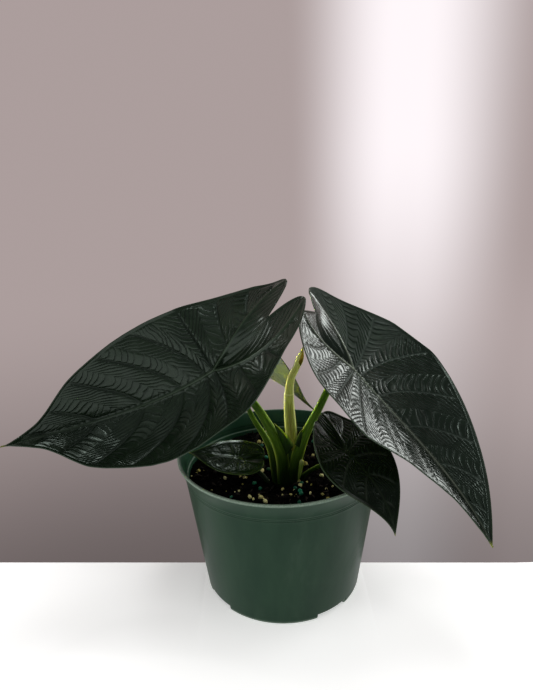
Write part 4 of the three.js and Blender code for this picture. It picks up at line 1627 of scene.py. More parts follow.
@dataclass
class NurseryPot:
    """A turned plastic pot with a rolled lip, fine rings, an inner ledge and drain notches."""

    finish: PlasticFinish
    node: str = "pot"
    height: float = 114.0
    collar_height: float = 14.0
    body_radius: float = 77.2
    foot_radius: float = 63.5
    wall: float = 1.6
    floor: float = 2.0
    ledge_depth: float = 15.0
    ledge: float = 0.9
    notches: int = 4
    notch_azimuth: float = 215.0
    notch_width: float = 28.0
    notch_height: float = 4.4
    notch_depth: float = 16.0
    bead_z: float = 4.6
    lip: Point = (82.0, 113.5, 0.5)
    # first and last height of the collar's flare outside and inside, and how far each reaches
    flare: Point = (100.5, 111.6, 4.7)
    throat: Point = (112.2, 103.6, 3.7)
    wall_rings: tuple[float, ...] = (90.0, 70.0, 40.0, 10.0, 3.5)
    hub: float = 45.2
    sides: int = 288

    def inner_radius(self, z: float) -> float:
        """Radius of the inner wall: the outer cone less the wall, and less the ledge below it.

        Args:
            z: height.

        Returns:
            The radius.
        """
        slope = (self.body_radius - self.foot_radius) / (self.height - self.collar_height)
        below = self.ledge if z < self.height - self.ledge_depth else 0.0
        return self.foot_radius + slope * z - self.wall - below

    def profile(self) -> Array:
        """The section from the middle of the foot, up the outside, over the lip and back inside.

        The body is a cone with a fine groove above the foot, the collar flares by a power of 1.5
        outside and 0.8 inside, and the lip is a quarter of a circle.

        Returns:
            Rows of radius, height, and wear with a painted highlight.
        """
        collar_z = self.height - self.collar_height
        z = np.linspace(3.2, collar_z - 3.4, 44)
        slope = (self.body_radius - self.foot_radius) / (collar_z - 2)
        body = self.foot_radius + slope * (z - 2) - 0.22 * swell(z - self.bead_z, 0.7)
        outside = [(r, h, 0.0) for r, h in zip(body, z)]
        low, high, reach = self.flare
        z = np.linspace(low, high, 24)
        rings = [(r, h, 0.0) for r, h in zip(77.4 + reach * ((z - low) / (high - low)) ** 1.5, z)]
        lip_radius, lip_z, lip_round = self.lip
        turn = evenly(8)[1:] * np.pi / 2
        lip = [(lip_radius + lip_round * math.cos(t), lip_z + lip_round * math.sin(t), 1.0) for t in turn]
        high, low, reach = self.throat
        z = np.linspace(high, low, 14)
        inside = [(r, h, 0.0) for r, h in zip(79.5 - reach * ((high - z) / (high - low)) ** 0.8, z)]
        ledge_z = self.height - self.ledge_depth
        r = self.inner_radius(ledge_z + 0.1)
        inside += [(r + 0.45, 102.9, 0), (r + 0.25, 102.3, 0.1), (r + 0.35, 101.2, 0),
                   (r + 0.1, ledge_z + 0.5, 0), (r - 0.1, ledge_z, 0.3), (r - 0.75, ledge_z - 0.15, 0.4),
                   (r - 0.9, ledge_z - 0.6, 0)]
        inside += [(self.inner_radius(z), z, 0) for z in self.wall_rings]
        corner = self.inner_radius(self.wall_rings[-1]) - 1.5
        inside += [(r, self.floor, 0) for r in (corner, self.hub + 0.2, self.hub - 0.2, 30, 0)]
        parts = [FOOT_RING, outside, COLLAR_STEP, rings, RIM_EDGE, lip, RIM_INSIDE, inside]
        return np.vstack([np.array(part, float) for part in parts])

    def build(self) -> bpy.types.Object:
        """Turns the section round the axis and raises the notches in the foot.

        Within a notch's width the foot's outer ring, up to notch_depth deep, has a height of at
        least notch_height, and the floor above it is raised as much. A small nick stands beside
        each notch.

        Returns:
            The pot.
        """
        profile = self.profile()
        even = np.linspace(0, 360, self.sides + 1)[:-1]
        middle = self.notch_azimuth + np.arange(self.notches) * 360 / self.notches
        half = math.degrees(self.notch_width / 2 / self.foot_radius)
        sides = [middle + way * (half + past) for past in (0.12, -0.12, 1.6, 2.0) for way in (1, -1)]
        degrees = np.unique(np.round(np.mod(np.concatenate([even, *sides]), 360), 4))
        gap = np.abs(np.mod(degrees[:, None] - middle + 180, 360) - 180).min(axis=1)
        notch = 1 - smooth(half - 0.1, half + 0.1, gap)
        nick = 0.35 * swell(gap - half - 1.8, 0.5)
        angle = np.radians(degrees)
        radius, height, worn = (profile[:, i][:, None] for i in range(3))
        index = np.arange(len(profile))[:, None]
        floor_top = self.floor + self.notch_height
        ring = radius > self.foot_radius - self.notch_depth - 0.1
        below = (height < self.notch_height) & ring & (index < 20)
        above = (height < floor_top) & (radius > self.hub) & (index > 30)
        lifted = np.where(below, np.maximum(height, self.notch_height * notch + 0.8 * nick), height)
        lifted = np.where(above, np.maximum(height, floor_top * notch), lifted)
        uneven = 1 + 0.0012 * np.sin(3 * angle + 0.7) * height / self.height
        places = np.stack([radius * uneven * np.cos(angle), radius * uneven * np.sin(angle), lifted], -1)
        shell = Shell()
        shell.add_grid(places, wrap=True, worn=worn)
        return place_piece(shell, "nursery_pot", [self.finish], self.node)


# x, y and radius of the cream grains that stand out, and x and y of the beads
GRAIN_SPOTS = (
    (-66.9, -0.4, 2.1), (-63.0, -0.9, 1.3), (-68.5, -3.6, 1.2), (-72.0, -7.5, 1.0), (-44.0, -18.8, 1.7),
    (-32.6, -17.0, 1.2), (-28.9, -18.1, 1.8), (-16.1, -6.4, 2.5), (-18.0, 45.1, 2.4), (-5.9, 42.8, 1.2),
    (-8.5, 14.2, 1.2), (0.2, -35.9, 1.5), (5.8, -42.2, 1.4), (12.6, -26.3, 2.2), (13.6, -32.0, 1.9),
    (-24.2, -46.7, 1.9), (-21.8, -48.7, 1.4), (-16.2, -47.4, 2.2), (-13.0, -52.5, 2.0),
    (-32.5, -36.2, 1.0), (-11.2, 70.0, 2.0), (27.8, 20.0, 1.4), (19.6, 0.7, 2.2), (31.5, -16.6, 2.0),
    (20.2, -42.6, 1.2), (29.3, -43.5, 1.3), (32.7, -37.2, 1.0), (32.7, -48.3, 1.6), (19.0, -27.6, 1.0),
    (22.2, -31.8, 1.0),
)
BEAD_SPOTS = (
    (-15.5, 36.7), (-12.0, 16.1), (-10.3, -4.4), (-16.8, -32.7), (-37.9, -44.2), (9.6, -35.0),
    (12.9, -38.2), (11.6, -51.2), (-12.3, 64.8), (14.8, -29.0), (13.6, -41.5), (46.0, -9.0), (30.0, 44.0),
)


@dataclass(frozen=True)
class Lump:
    """A kind of small lump: its finish's number, its mesh, how rough and how high it lies, the
    lowest and highest factors that flatten it and radii, how many lie at random, and placed ones.
    """

    dress: int
    rings: int
    sides: int
    rough: float
    raised: float
    squash: tuple[float | Point, float | Point] | None
    size: tuple[float, float] | None
    count: int = 0
    spots: tuple[tuple[float, ...], ...] = ()


@dataclass
class PottingMix:
    """Near-black peat with crumbs, bark chips, cream grains and blue-green feed beads."""

    peat: CrumbFinish
    chips: CrumbFinish
    grains: CrumbFinish
    beads: CrumbFinish
    pot: NurseryPot
    node: str = "potting_mix"
    level: float = 98.0
    edge_drop: float = 2.5
    gap: float = 0.3
    waves: tuple[Station, ...] = (
        (0.11, 0.05, 0.4, 0.9), (-0.06, 0.17, 1.9, 0.8), (0.23, -0.19, 0.7, 0.5),
    )
    seed: int = 27
    clear_of_pot: float = 4.0
    crown: Point = (3.0, -22.0, 10.5)
    # crumbs, bark chips, placed cream grains, smaller ones, and beads
    lumps: tuple[Lump, ...] = (
        Lump(0, 3, 5, 0.35, 0.3, squash=(0.5, 1.0), size=(0.5, 1.5), count=1500),
        Lump(1, 4, 7, 0.3, 0.2, squash=((0.8, 0.3, 0.15), (1.6, 0.6, 0.35)), size=(1.2, 3.2), count=230),
        Lump(2, 9, 14, 0.3, 0.35, squash=(0.65, 1.0), size=None, spots=GRAIN_SPOTS),
        Lump(2, 6, 9, 0.3, 0.3, squash=(0.65, 1.0), size=(0.4, 1.0), count=70),
        Lump(3, 12, 18, 0.04, 0.3, squash=None, size=(1.35, 1.75), count=9, spots=BEAD_SPOTS),
    )
    # height, cell and seed of each noise that makes the bed uneven
    bed_noise: tuple[tuple[float, float, int], ...] = (
        (0.8, 9.0, 1), (0.75, 4.0, 2), (0.6, 1.9, 3), (0.35, 0.9, 4),
    )
    bed_rings: int = 120
    bed_sides: int = 300
    bed_edge_z: float = 95.5

    def surface(self, x: Array, y: Array) -> Array:
        """Height of the solid's top: three crossing waves, flatter and lower towards the wall.

        The height is level + waves * (1 - share ** 6) - edge_drop * share ** 4, with share the
        distance from the axis as a share of the wall's.

        Args:
            x: place along x.
            y: place along y.

        Returns:
            The height at each place.
        """
        share = np.hypot(x, y) / self.pot.inner_radius(self.level)
        uneven = sum(height * np.sin(tx * x + ty * y + phase) for tx, ty, phase, height in self.waves)
        return self.level + uneven * (1 - share**6) - self.edge_drop * share**4

    def bed(self, shell: Shell) -> None:
        """Adds the body of the mix: a lumpy top of noise at four sizes, and a plain side and base.

        Args:
            shell: the mesh to add to.
        """
        inner = self.pot.inner_radius
        top, low = inner(self.level) - self.gap, self.pot.floor + self.gap
        radius = top * (np.arange(self.bed_rings + 1) / self.bed_rings) ** 0.9
        angle = round_angles(self.bed_sides)
        x, y = radius[:, None] * np.cos(angle), radius[:, None] * np.sin(angle)
        flat = np.stack([x, y], axis=-1)
        lumps = sum(height * noise(flat, cell, seed) for height, cell, seed in self.bed_noise)
        bed = np.dstack([flat, self.surface(x, y) + lumps - 0.3])
        bed[0] = bed[0].mean(axis=0)
        bed[-1, :, 2] = np.minimum(bed[-1, :, 2], self.bed_edge_z)
        side = [(top, self.bed_edge_z - 1), (inner(60.0) - self.gap, 60.0),
                (inner(low + 5.0) - self.gap, low + 5.0), (44.5, low + 4.0), (44.0, low), (0.0, low)]
        radius, height = np.array(side).T[:, :, None]
        walls = np.dstack([radius * np.cos(angle), radius * np.sin(angle), height + 0 * angle])
        places = np.concatenate([bed, walls])
        tone = 0.25 + 0.35 * noise(places[..., :2], 5.0, 8)
        shell.add_grid(places, wrap=True, tone=np.clip(tone, 0, 1))

    def scatter(
        self, shell: Shell, lump: Lump, spots: Array, size: Array, flatness: Array,
        draw: np.random.Generator,
    ) -> None:
        """Adds rounded lumps: small globes, squashed, roughened by noise and turned at random.

        Args:
            shell: the mesh to add to.
            lump: their kind.
            spots: x and y of each.
            size: radius of each.
            flatness: three factors of each.
            draw: the random draws.
        """
        count, rings, sides = len(spots), lump.rings, lump.sides
        polar = np.linspace(0, np.pi, rings + 1)[:, None]
        around = round_angles(sides)
        ring = np.sin(polar)
        globe = np.dstack([ring * np.cos(around), ring * np.sin(around), np.cos(polar) + 0 * around])
        shift = draw.uniform(0, 50, (count, 1, 1, 3))
        bumpy = 1 + lump.rough * noise(globe[None] + shift, 0.9, 5)
        bumpy[:, [0, -1]] = bumpy[:, [0, -1], :1]
        body = globe[None] * bumpy[..., None] * (flatness * size[:, None])[:, None, None]
        body = np.einsum("nij,nrsj->nrsi", random_turns(draw, count), body)
        ground = self.surface(spots[:, 0], spots[:, 1]) + lump.raised * size
        body += np.concatenate([spots, ground[:, None]], axis=1)[:, None, None]
        index = np.arange((rings + 1) * sides).reshape(rings + 1, sides)
        faces = grid_faces(np.hstack([index, index[:, :1]]))[:, [0, 3, 2, 1]]
        faces = faces[None] + (np.arange(count) * index.size)[:, None, None]
        tone = np.repeat(draw.uniform(0, 1, count), index.size)
        shell.add(body.reshape(-1, 3), faces.reshape(-1, 4), lump.dress, tone=tone)

    def free_spots(self, draw: np.random.Generator, count: int) -> Array:
        """Random places on the mix, clear of the wall and of the crown.

        Args:
            draw: the random draws.
            count: how many.

        Returns:
            Rows of x and y.
        """
        reach = self.pot.inner_radius(self.level) - self.clear_of_pot
        angle = draw.uniform(0, TURN, 3 * count)
        far = reach * np.sqrt(draw.uniform(0, 1, 3 * count))
        spots = np.stack([far * np.cos(angle), far * np.sin(angle)], axis=-1)
        x, y, clear = self.crown
        return spots[np.hypot(spots[:, 0] - x, spots[:, 1] - y) > clear][:count]

    def build(self) -> bpy.types.Object:
        """Builds the bed and scatters what lies on it.

        Returns:
            The potting mix.
        """
        draw = np.random.default_rng(self.seed)
        shell = Shell()
        self.bed(shell)
        for lump in self.lumps:
            placed = np.array(lump.spots or np.zeros((0, 2)))
            spots = np.vstack([placed[:, :2], self.free_spots(draw, lump.count)])
            total = len(spots)
            squash = draw.uniform(*lump.squash, (total, 3)) if lump.squash else np.ones((total, 3))
            size = draw.uniform(*lump.size, total) if lump.size else placed[:, 2]
            self.scatter(shell, lump, spots, size, squash, draw)
        finishes = [self.peat, self.chips, self.grains, self.beads]
        return place_piece(shell, "mix_bed", finishes, self.node)


def random_turns(draw: np.random.Generator, count: int) -> Array:
    """Random rotations, from unit quaternions w, x, y, z.

    Args:
        draw: the random draws.
        count: how many.

    Returns:
        One 3 by 3 matrix each.
    """
    w, x, y, z = unit(draw.normal(size=(count, 4))).T
    rows = [[1 - 2 * (y * y + z * z), 2 * (x * y - z * w), 2 * (x * z + y * w)],
            [2 * (x * y + z * w), 1 - 2 * (x * x + z * z), 2 * (y * z - x * w)],
            [2 * (x * z - y * w), 2 * (y * z + x * w), 1 - 2 * (x * x + y * y)]]
    return np.array(rows).transpose(2, 0, 1)


# Studio


@dataclass(frozen=True)
class Lamp:
    """A soft rectangular light aimed at a point, in metres and watts."""

    name: str
    place: Point
    target: Point
    width: float
    height: float
    power: float
    spread: float = 180.0
    mirrored: bool = True

    def make(self) -> None:
        """Adds the light to the scene."""
        data = bpy.data.lights.new(self.name, "AREA")
        data.shape, data.size, data.size_y = "RECTANGLE", self.width, self.height
        data.energy, data.spread = self.power, math.radians(self.spread)
        lamp = bpy.data.objects.new(self.name, data)
        bpy.context.scene.collection.objects.link(lamp)
        lamp.visible_camera, lamp.visible_glossy = False, self.mirrored
        turn = (Vector(self.target) - Vector(self.place)).to_track_quat("-Z", "Y")
        lamp.matrix_world = Matrix.Translation(self.place) @ turn.to_matrix().to_4x4()


@dataclass(frozen=True)
class Glow:
    """A soft bright patch of the surround: four angles each way, rising, full and falling."""

    azimuth: tuple[float, float, float, float]
    elevation: tuple[float, float, float, float]
    colour: Colour


class Sky(Graph):
    """The surround's shader tree while it is put together."""

    def __init__(self, tree: bpy.types.NodeTree) -> None:
        """Empties the tree of a world.

        Args:
            tree: the world's tree.
        """
        self.tree = tree
        self.tree.nodes.clear()

    def parts(self) -> tuple[Socket, ...]:
        """The three parts of the direction."""
        direction = self.node("TexCoord", {}).outputs["Generated"]
        return tuple(self.node("SeparateXYZ", {0: direction}).outputs)

    def above(self, angle: Socket, low: float, high: float) -> Socket:
        """Smooth share of an angle between two numbers of degrees."""
        return self.ranged(angle, math.radians(low), math.radians(high))

    def between(self, angle: Socket, band: Station) -> Socket:
        """How far an angle lies in a band of four degrees: rising, full, full, falling."""
        low, full, last, high = band
        return self.times(self.above(angle, low, full), self.above(angle, high, last))

    def added(self, amount: Socket, colour: object, extra: Colour) -> Socket:
        """A colour with an amount of another added."""
        inputs = {0: amount, 6: colour, 7: extra}
        return self.node("Mix", inputs, data_type="RGBA", blend_type="ADD").outputs[2]

    def close(self, colour: Socket) -> None:
        """Ends the tree with the background.

        Args:
            colour: its colour by direction.
        """
        background = self.node("Background", {0: colour})
        output = self.tree.nodes.new("ShaderNodeOutputWorld")
        self.put(output.inputs[0], background.outputs[0])


@dataclass
class Studio:
    """Pale table, soft lights, a plain lilac-grey surround and the camera of the reference."""

    lens: float = 29.2
    sensor: float = 36.0
    camera_place: Point = (-0.009, -0.409, 0.320)
    pitch: float = 16.2
    roll: float = -1.6
    # the table's back edge is a line y = edge + slope * x, with a round rest for the pot behind it
    back_edge: float = 10.4
    back_slope: float = -0.043
    rest_radius: float = 67.5
    table_reach: float = 1500.0
    table_thickness: float = 30.0
    edge_round: float = 3.0
    floor_colour: Colour = (0.86, 0.86, 0.855)
    floor_glow: float = 0.68
    # soft shade on the table beside the pot
    shade_place: Point = (-0.06, 0.0, 0.0)
    shade_reach: float = 0.21
    shade: float = 0.5
    wall: Colour = (0.41, 0.34, 0.335)
    room: Colour = (0.24, 0.245, 0.24)
    room_from: float = 0.05
    room_to: float = -0.3
    dim_from: float = -39.0
    dim_to: float = -10.0
    dimmest: float = 0.33
    ceiling: Colour = (0.05, 0.05, 0.05)
    ceiling_from: float = 30.0
    ceiling_to: float = 60.0
    glows: tuple[Glow, ...] = (
        Glow((2.5, 12.5, 15, 25.5), (-20, 4, 40, 60), (0.35, 0.35, 0.37)),
        Glow((2.5, 12.5, 15, 25.5), (-80, -2, 40, 60), (0.25, 0.25, 0.26)),
        Glow((17, 27, 60, 80), (-70, -34, -24, -4), (0.09, 0.08, 0.08)),
        Glow((26, 44, 110, 130), (-5, 8, 70, 85), (-0.25, -0.19, -0.19)),
        Glow((-120, -105, -38, -27), (-12, 0, 40, 52), (-0.17, -0.14, -0.14)),
        Glow((-175, -150, -112, -92), (28, 38, 58, 66), (0.30, 0.30, 0.29)),
    )
    lamps: tuple[Lamp, ...] = (
        Lamp("window", (1.092, 0.586, 0.45), (0.03, 0.0, 0.21), 0.60, 0.26, 3.7),
        Lamp("skylight", (0.258, 0.216, 1.40), (0.0, 0.0, 0.15), 0.42, 0.42, 4.0),
        Lamp("ceiling_lamp", (-0.225, 0.250, 1.27), (-0.033, -0.009, 0.112), 0.07, 0.07, 0.6),
        Lamp("side_lamp", (-1.178, 0.201, 0.373), (-0.016, -0.046, 0.206), 0.24, 0.12, 0.6),
        Lamp("costa_lamp", (1.099, -0.076, 0.77), (0.06, -0.04, 0.17), 0.30, 0.16, 0.4),
        Lamp("rim_left", (-0.12, 0.11, 0.215), (0.014, -0.026, 0.190), 0.04, 0.06, 0.10,
             spread=36.0, mirrored=False),
        Lamp("rim_right", (0.14, 0.05, 0.215), (0.012, -0.024, 0.172), 0.05, 0.05, 0.045,
             spread=80.0, mirrored=False),
        Lamp("fill_left", (-0.95, -0.45, 0.30), (0.0, 0.0, 0.06), 0.50, 0.50, 2.2, mirrored=False),
        Lamp("front_lamp", (-0.02, -0.505, 1.24), (0.05, 0.0, 0.17), 0.16, 0.16, 0.85),
    )

    def camera(self) -> None:
        """Adds the camera: it looks along +Y, pitched down and rolled a little."""
        data = bpy.data.cameras.new("camera")
        data.lens, data.sensor_width, data.sensor_fit = self.lens, self.sensor, "AUTO"
        data.clip_start, data.clip_end = 0.01, 20.0
        down, roll = math.radians(self.pitch), math.radians(self.roll)
        ahead = Vector((0.0, math.cos(down), -math.sin(down)))
        right = Vector((1.0, 0.0, 0.0))
        up = right.cross(ahead)
        across = math.cos(roll) * right + math.sin(roll) * up
        above = -math.sin(roll) * right + math.cos(roll) * up
        turn = Matrix((across, above, -ahead)).transposed().to_4x4()
        made = bpy.data.objects.new("camera", data)
        made.matrix_world = Matrix.Translation(self.camera_place) @ turn
        bpy.context.scene.collection.objects.link(made)
        bpy.context.scene.camera = made

    def floor(self) -> None:
        """Adds the table top as a stage: a slab that ends behind the pot with a rounded edge.

        Its back edge is y = max(edge + slope * x, root of (rest_radius ** 2 - x ** 2)).
        """
        wide = self.table_reach
        near = self.rest_radius * np.sin(np.linspace(-1.0, 1.0, 241) ** 3 * np.pi / 2)
        x = np.unique(np.concatenate([[-wide, -600.0, -200.0], near, [200.0, 600.0, wide]]))
        rest = np.sqrt(np.clip(self.rest_radius**2 - x**2, 0, None))
        edge = np.maximum(self.back_edge + self.back_slope * x, rest) - self.edge_round
        rows = [(-wide, 0.0), (-400.0, 0.0), (-100.0, 0.0)]
        rows += [(edge + self.edge_round * math.sin(t), self.edge_round * (math.cos(t) - 1))
                 for t in np.linspace(0, np.pi / 2, 9)]
        under = -self.table_thickness
        rows += [(edge + self.edge_round, under), (-wide, under), (-wide, 0.0)]
        places = np.array([np.stack([x, y + 0 * x, z + 0 * x], axis=-1) for y, z in rows])
        shell = Shell()
        shell.add_grid(places, flip=True)
        g = Graph("pale_table")
        tone = g.ranged(g.cloud(g.place(), 8, 3), 0.3, 0.7)
        colour = g.mix(tone, tuple(0.98 * c for c in self.floor_colour), self.floor_colour)
        ends = {0: g.scaled(g.place(), 1.0, 2.0, 1.0), 1: self.shade_place}
        away = g.node("VectorMath", ends, operation="DISTANCE").outputs[1]
        glow = g.ranged(away, 0.0, self.shade_reach, self.shade * self.floor_glow, self.floor_glow)
        finish = g.finish(
            Base_Color=colour, Roughness=0.5, Specular_IOR_Level=0.3,
            Emission_Color=self.floor_colour, Emission_Strength=glow,
        )
        shell.build("table", [finish])

    def surround(self) -> None:
        """Sets the surround by direction: a wall ahead, a dim room behind, and soft glows.

        The wall is dimmed downwards and gives way to the ceiling upwards, both are mixed with the
        room by the direction's y, and each glow adds its colour times its shares of azimuth and
        elevation.
        """
        world = bpy.data.worlds.new("surround")
        world.use_nodes = True
        sky = Sky(world.node_tree)
        x, y, z = sky.parts()
        azimuth, elevation = sky.math("ARCTAN2", x, y), sky.math("ARCSINE", z)
        behind = sky.ranged(y, self.room_from, self.room_to)
        dimmed = sky.above(elevation, self.dim_from, self.dim_to)
        colour = sky.mix(dimmed, tuple(self.dimmest * c for c in self.wall), self.wall)
        high = sky.above(elevation, self.ceiling_from, self.ceiling_to)
        colour = sky.mix(high, colour, self.ceiling)
        colour = sky.mix(behind, colour, self.room)
        for glow in self.glows:
            amount = sky.times(sky.between(azimuth, glow.azimuth), sky.between(elevation, glow.elevation))
            colour = sky.added(amount, colour, glow.colour)
        sky.close(colour)
        bpy.context.scene.world = world

    def build(self) -> None:
        """Adds the camera, table, surround and lights, with plain colour handling."""
        self.camera()
        self.floor()
        self.surround()
        for lamp in self.lamps:
            lamp.make()
        bpy.context.scene.view_settings.view_transform = "Standard"
        LOG.info("studio: camera, table, surround and %d lights", len(self.lamps))


# The plant

MATURE = LeafFinish(
    "leather_green", dark=(0.0050, 0.0104, 0.0048), light=(0.0108, 0.0192, 0.0098),
    rib=(0.040, 0.062, 0.036), rim=(0.022, 0.036, 0.020), gloss=0.40,
)
# its very pale midrib and vein lines are partly its own tone and partly painted highlight
BROODING = LeafFinish(
    "dark_leather_green", dark=(0.0024, 0.0068, 0.0030), light=(0.0052, 0.0118, 0.0055),
    rib=(0.260, 0.300, 0.230), rim=(0.030, 0.050, 0.026), line=(0.038, 0.050, 0.042),
    crest_highlight=(0.050, 0.064, 0.056), roughness=0.2, gloss=0.43,
)
YOUNG = LeafFinish(
    "young_leather_green", dark=(0.0018, 0.0044, 0.0016), light=(0.0042, 0.0085, 0.0036),
    rib=(0.030, 0.042, 0.022), rim=(0.035, 0.055, 0.026), line=(0.035, 0.042, 0.032), gloss=0.14,
)
SMALL = LeafFinish(
    "small_leather_green", dark=(0.0014, 0.0066, 0.0006), light=(0.0045, 0.0135, 0.0020),
    rib=(0.040, 0.062, 0.020), rim=(0.070, 0.115, 0.030), line=(0.016, 0.030, 0.008),
    ridge_height=0.00008, roughness=0.14, gloss=0.28,
)
UNDER = UnderFinish(
    "pale_underside", light=(0.085, 0.120, 0.055), dark=(0.055, 0.085, 0.038),
    vein=(0.040, 0.065, 0.026), spot=(0.10, 0.06, 0.02),
)
SPOTTED = UnderFinish(
    "spotted_underside", light=(0.34, 0.38, 0.37), dark=(0.29, 0.33, 0.29),
    vein=(0.19, 0.23, 0.15), spot=(0.08, 0.045, 0.015), spots=0.9, shade=(0.002, 0.022),
)

BLADES = (
    Blade("leaf_left", "blade_left", BladeShape(
        stalk=(-48, -24, 190), front=176, back=89, sinus=60, half=57, widest=34, lobe=15,
        point=0.38, neck=0.12, belly=0.8, shoulder=0.33, lobe_round=0.26, lobe_turn=0.18,
        sinus_round=0.12, heading=(183, 158, 252), pitch=(-52, -35, 16), roll=(36, 77, 55),
        fold_left=(-10, -8, 34), fold_right=(-27, 7, 34), curl_left=-76, curl_right=-11,
        front_veins=7, lobe_veins=4),
        Weave(18, 90, 24, 5.4), MATURE, UNDER, 3, valley=4.5),
    Blade("leaf_right", "blade_right", BladeShape(
        stalk=(55, -17, 185), front=155, back=64, sinus=53, half=66, widest=30, lobe=20,
        point=0.22, neck=0.18, belly=0.15, shoulder=0.6, lobe_round=0.55, lobe_turn=0.02,
        sinus_round=0.06, heading=(16, -13, -80), pitch=(-70, -49, -30), roll=(-54, -32, 7),
        fold_left=(-38, -8, 35), fold_right=(17, 27, 35), curl_left=-19, curl_right=-1,
        front_veins=7, lobe_veins=4),
        Weave(18, 90, 24, 5.0), BROODING, UNDER, 5, quilting=0.3, ridge=0.70, unevenness=0.5,
        valley=6.5, valley_power=(2.6, 1.0), flutes=0.15, dulled=0.6, wave=0.5, vein_depth=0.32,
        vein_width=0.5, patchiness=0.2),
    Blade("leaf_front", "blade_front", BladeShape(
        stalk=(44, -59, 140), front=65, back=31, sinus=27, half=31, widest=3, lobe=9,
        point=0.34, neck=0.15, belly=0.36, shoulder=0.5, lobe_round=0.41, lobe_turn=0.3,
        sinus_round=0.3, heading=(-20, -40, -52), pitch=(-64, -31, -81), roll=(-4, -8, -26),
        fold_left=(10, 6, 9), fold_right=(13, 12, 7), curl_left=8, curl_right=6,
        front_veins=5, lobe_veins=3),
        Weave(16, 56, 16, 3.8), YOUNG, UNDER, 8, quilting=0.4, wave=0.4, vein_depth=0.5,
        vein_width=0.5, valley=1.2),
    Blade("leaf_low", "blade_low", BladeShape(
        stalk=(-33, -9, 111.5), front=42, back=20, sinus=17.5, half=17, widest=2, lobe=4,
        point=0.3, neck=0.3, belly=0.5, shoulder=0.5, lobe_round=0.6, lobe_turn=0.15,
        sinus_round=0.3, heading=(175, 170, 166), pitch=(-4, 3, -2), roll=(26, 24, 20),
        fold_left=(8, 8, 8), fold_right=(8, 8, 8), curl_left=12, curl_right=12,
        front_veins=5, lobe_veins=3),
        Weave(14, 44, 12, 2.2), SMALL, UNDER, 11, quilting=0.35, ridge=0.06, unevenness=0.3,
        wave=0.15, vein_depth=0.2, vein_width=0.4),
    Blade("leaf_back", "blade_back", BladeShape(
        stalk=(-20, 9, 194), front=72, back=34, sinus=20, half=23, widest=5, lobe=8,
        point=0.36, neck=0.12, belly=0.4, shoulder=0.5, lobe_round=0.4, lobe_turn=0.3,
        sinus_round=0.3, heading=(0, 2, 4), pitch=(-20, -46, -44), roll=(40, 38, 30),
        fold_left=(8, 10, 14), fold_right=(8, 10, 14), curl_left=14, curl_right=14,
        front_veins=5, lobe_veins=3),
        Weave(14, 48, 12, 2.8), YOUNG, SPOTTED, 14),
)

GREEN = StalkFinish(
    "stalk_green", dark=(0.024, 0.072, 0.001), light=(0.082, 0.168, 0.003),
    edge=(0.52, 0.68, 0.11), foot=(0.0020, 0.0090, 0.0006),
)
# greens darker than the stalks' as painted shade under the leaves
CROWN = StalkFinish(
    "crown_green", dark=(0.008, 0.032, 0.0006), light=(0.022, 0.060, 0.002),
    edge=(0.16, 0.24, 0.03), foot=(0.0015, 0.0060, 0.0006),
)
STUB = StalkFinish(
    "cut_stub", dark=(0.10, 0.18, 0.02), light=(0.24, 0.32, 0.07),
    edge=(0.45, 0.42, 0.20), foot=(0.05, 0.07, 0.02),
)
# its near-white edge colour is painted rim light
SHOOT = StalkFinish(
    "shoot_green", dark=(0.24, 0.29, 0.025), light=(0.60, 0.66, 0.10),
    edge=(1.0, 1.0, 0.38), foot=(0.11, 0.10, 0.015), roughness=0.34,
)
DRIED = CrumbFinish("dried_inside", (0.14, 0.07, 0.008), (0.80, 0.60, 0.05), 0.6, 260.0, 0.0002)

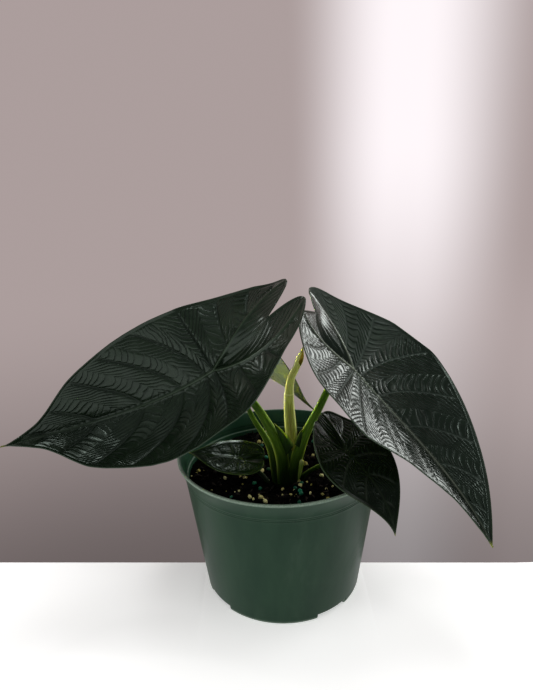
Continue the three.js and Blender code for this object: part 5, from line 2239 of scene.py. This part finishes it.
STALKS = (
    Stalk("stalk_left", "petiole_left", (
        (1.0, -25.0, 95, 4.0), (1.3, -25.4, 108, 4.3), (0.6, -24.8, 119, 4.4), (-2.4, -23.6, 130.5, 4.1),
        (-12.5, -22, 151, 3.3), (-22, -19, 165, 2.8), (-36, -11, 181, 2.4), (-44.5, -14.5, 189, 2.4),
        (-48, -24, 190, 2.6)), GREEN, sheath=0.45),
    Stalk("stalk_right", "petiole_right", (
        (8.8, -24.6, 95, 3.9), (9.6, -25.0, 110, 4.3), (12.4, -24.2, 122, 4.1), (18, -22.4, 136, 3.6),
        (30, -21.5, 160, 2.9), (38, -17, 174, 2.6), (47, -10, 184, 2.4), (53, -11, 187, 2.3),
        (54.4, -14.8, 184.6, 2.1)), GREEN, sheath=0.4),
    Stalk("stalk_back", "petiole_back", (
        (-3.6, -22.0, 95, 3.2), (-5.0, -21.0, 110, 3.2), (-8.8, -17.0, 125.5, 2.5), (-24, -10, 153, 1.8),
        (-29, -3, 175, 1.6), (-26, 5, 189, 1.5), (-20, 9, 194, 1.7)), GREEN, sheath=0.45),
    Stalk("stalk_front", "petiole_front", (
        (13.5, -21, 84, 1.9), (14, -22, 98, 1.9), (21, -27, 108, 1.7), (31, -36, 119, 1.6),
        (42, -48, 132, 1.4), (45.5, -54, 138, 1.4), (44, -59, 140, 1.5)), GREEN, sheath=0.4),
    Stalk("stalk_low", "petiole_low", (
        (-10, -22, 84, 1.8), (-11, -22, 97, 1.8), (-19, -18, 105, 1.5), (-28, -13, 109, 1.3),
        (-33, -9, 111.5, 1.5)), GREEN),
)


def corners(box: tuple[Vector, Vector]) -> list[list[float]]:
    """A box's two corners as plain lists."""
    return [list(map(float, corner)) for corner in box]


def main() -> None:
    """Builds the studio and the plant around the frame."""
    logging.basicConfig(level=logging.INFO, format="%(message)s")
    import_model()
    Studio().build()
    pot = NurseryPot(PlasticFinish())
    pot.build()
    PottingMix(
        CrumbFinish("dark_peat", (0.0004, 0.0004, 0.0004), (0.0050, 0.0042, 0.0034),
                    roughness=0.95, grain=1600.0, depth=0.0004, gloss=0.03),
        CrumbFinish("bark_chip", (0.0015, 0.0012, 0.0010), (0.022, 0.015, 0.010),
                    roughness=0.85, grain=900.0, depth=0.0003, gloss=0.2),
        CrumbFinish("cream_grain", (0.30, 0.26, 0.06), (0.78, 0.73, 0.36),
                    roughness=0.8, grain=1500.0, depth=0.0002),
        CrumbFinish("feed_bead", (0.002, 0.065, 0.032), (0.010, 0.16, 0.080),
                    roughness=0.4, grain=700.0, depth=0.00005, gloss=0.3),
        pot,
    ).build()
    Crown(CROWN, STUB).build()
    for stalk in STALKS:
        stalk.build()
    RolledLeaf(SHOOT, DRIED).build()
    for blade in BLADES:
        blade.build()


if __name__ == "__main__":
    main()
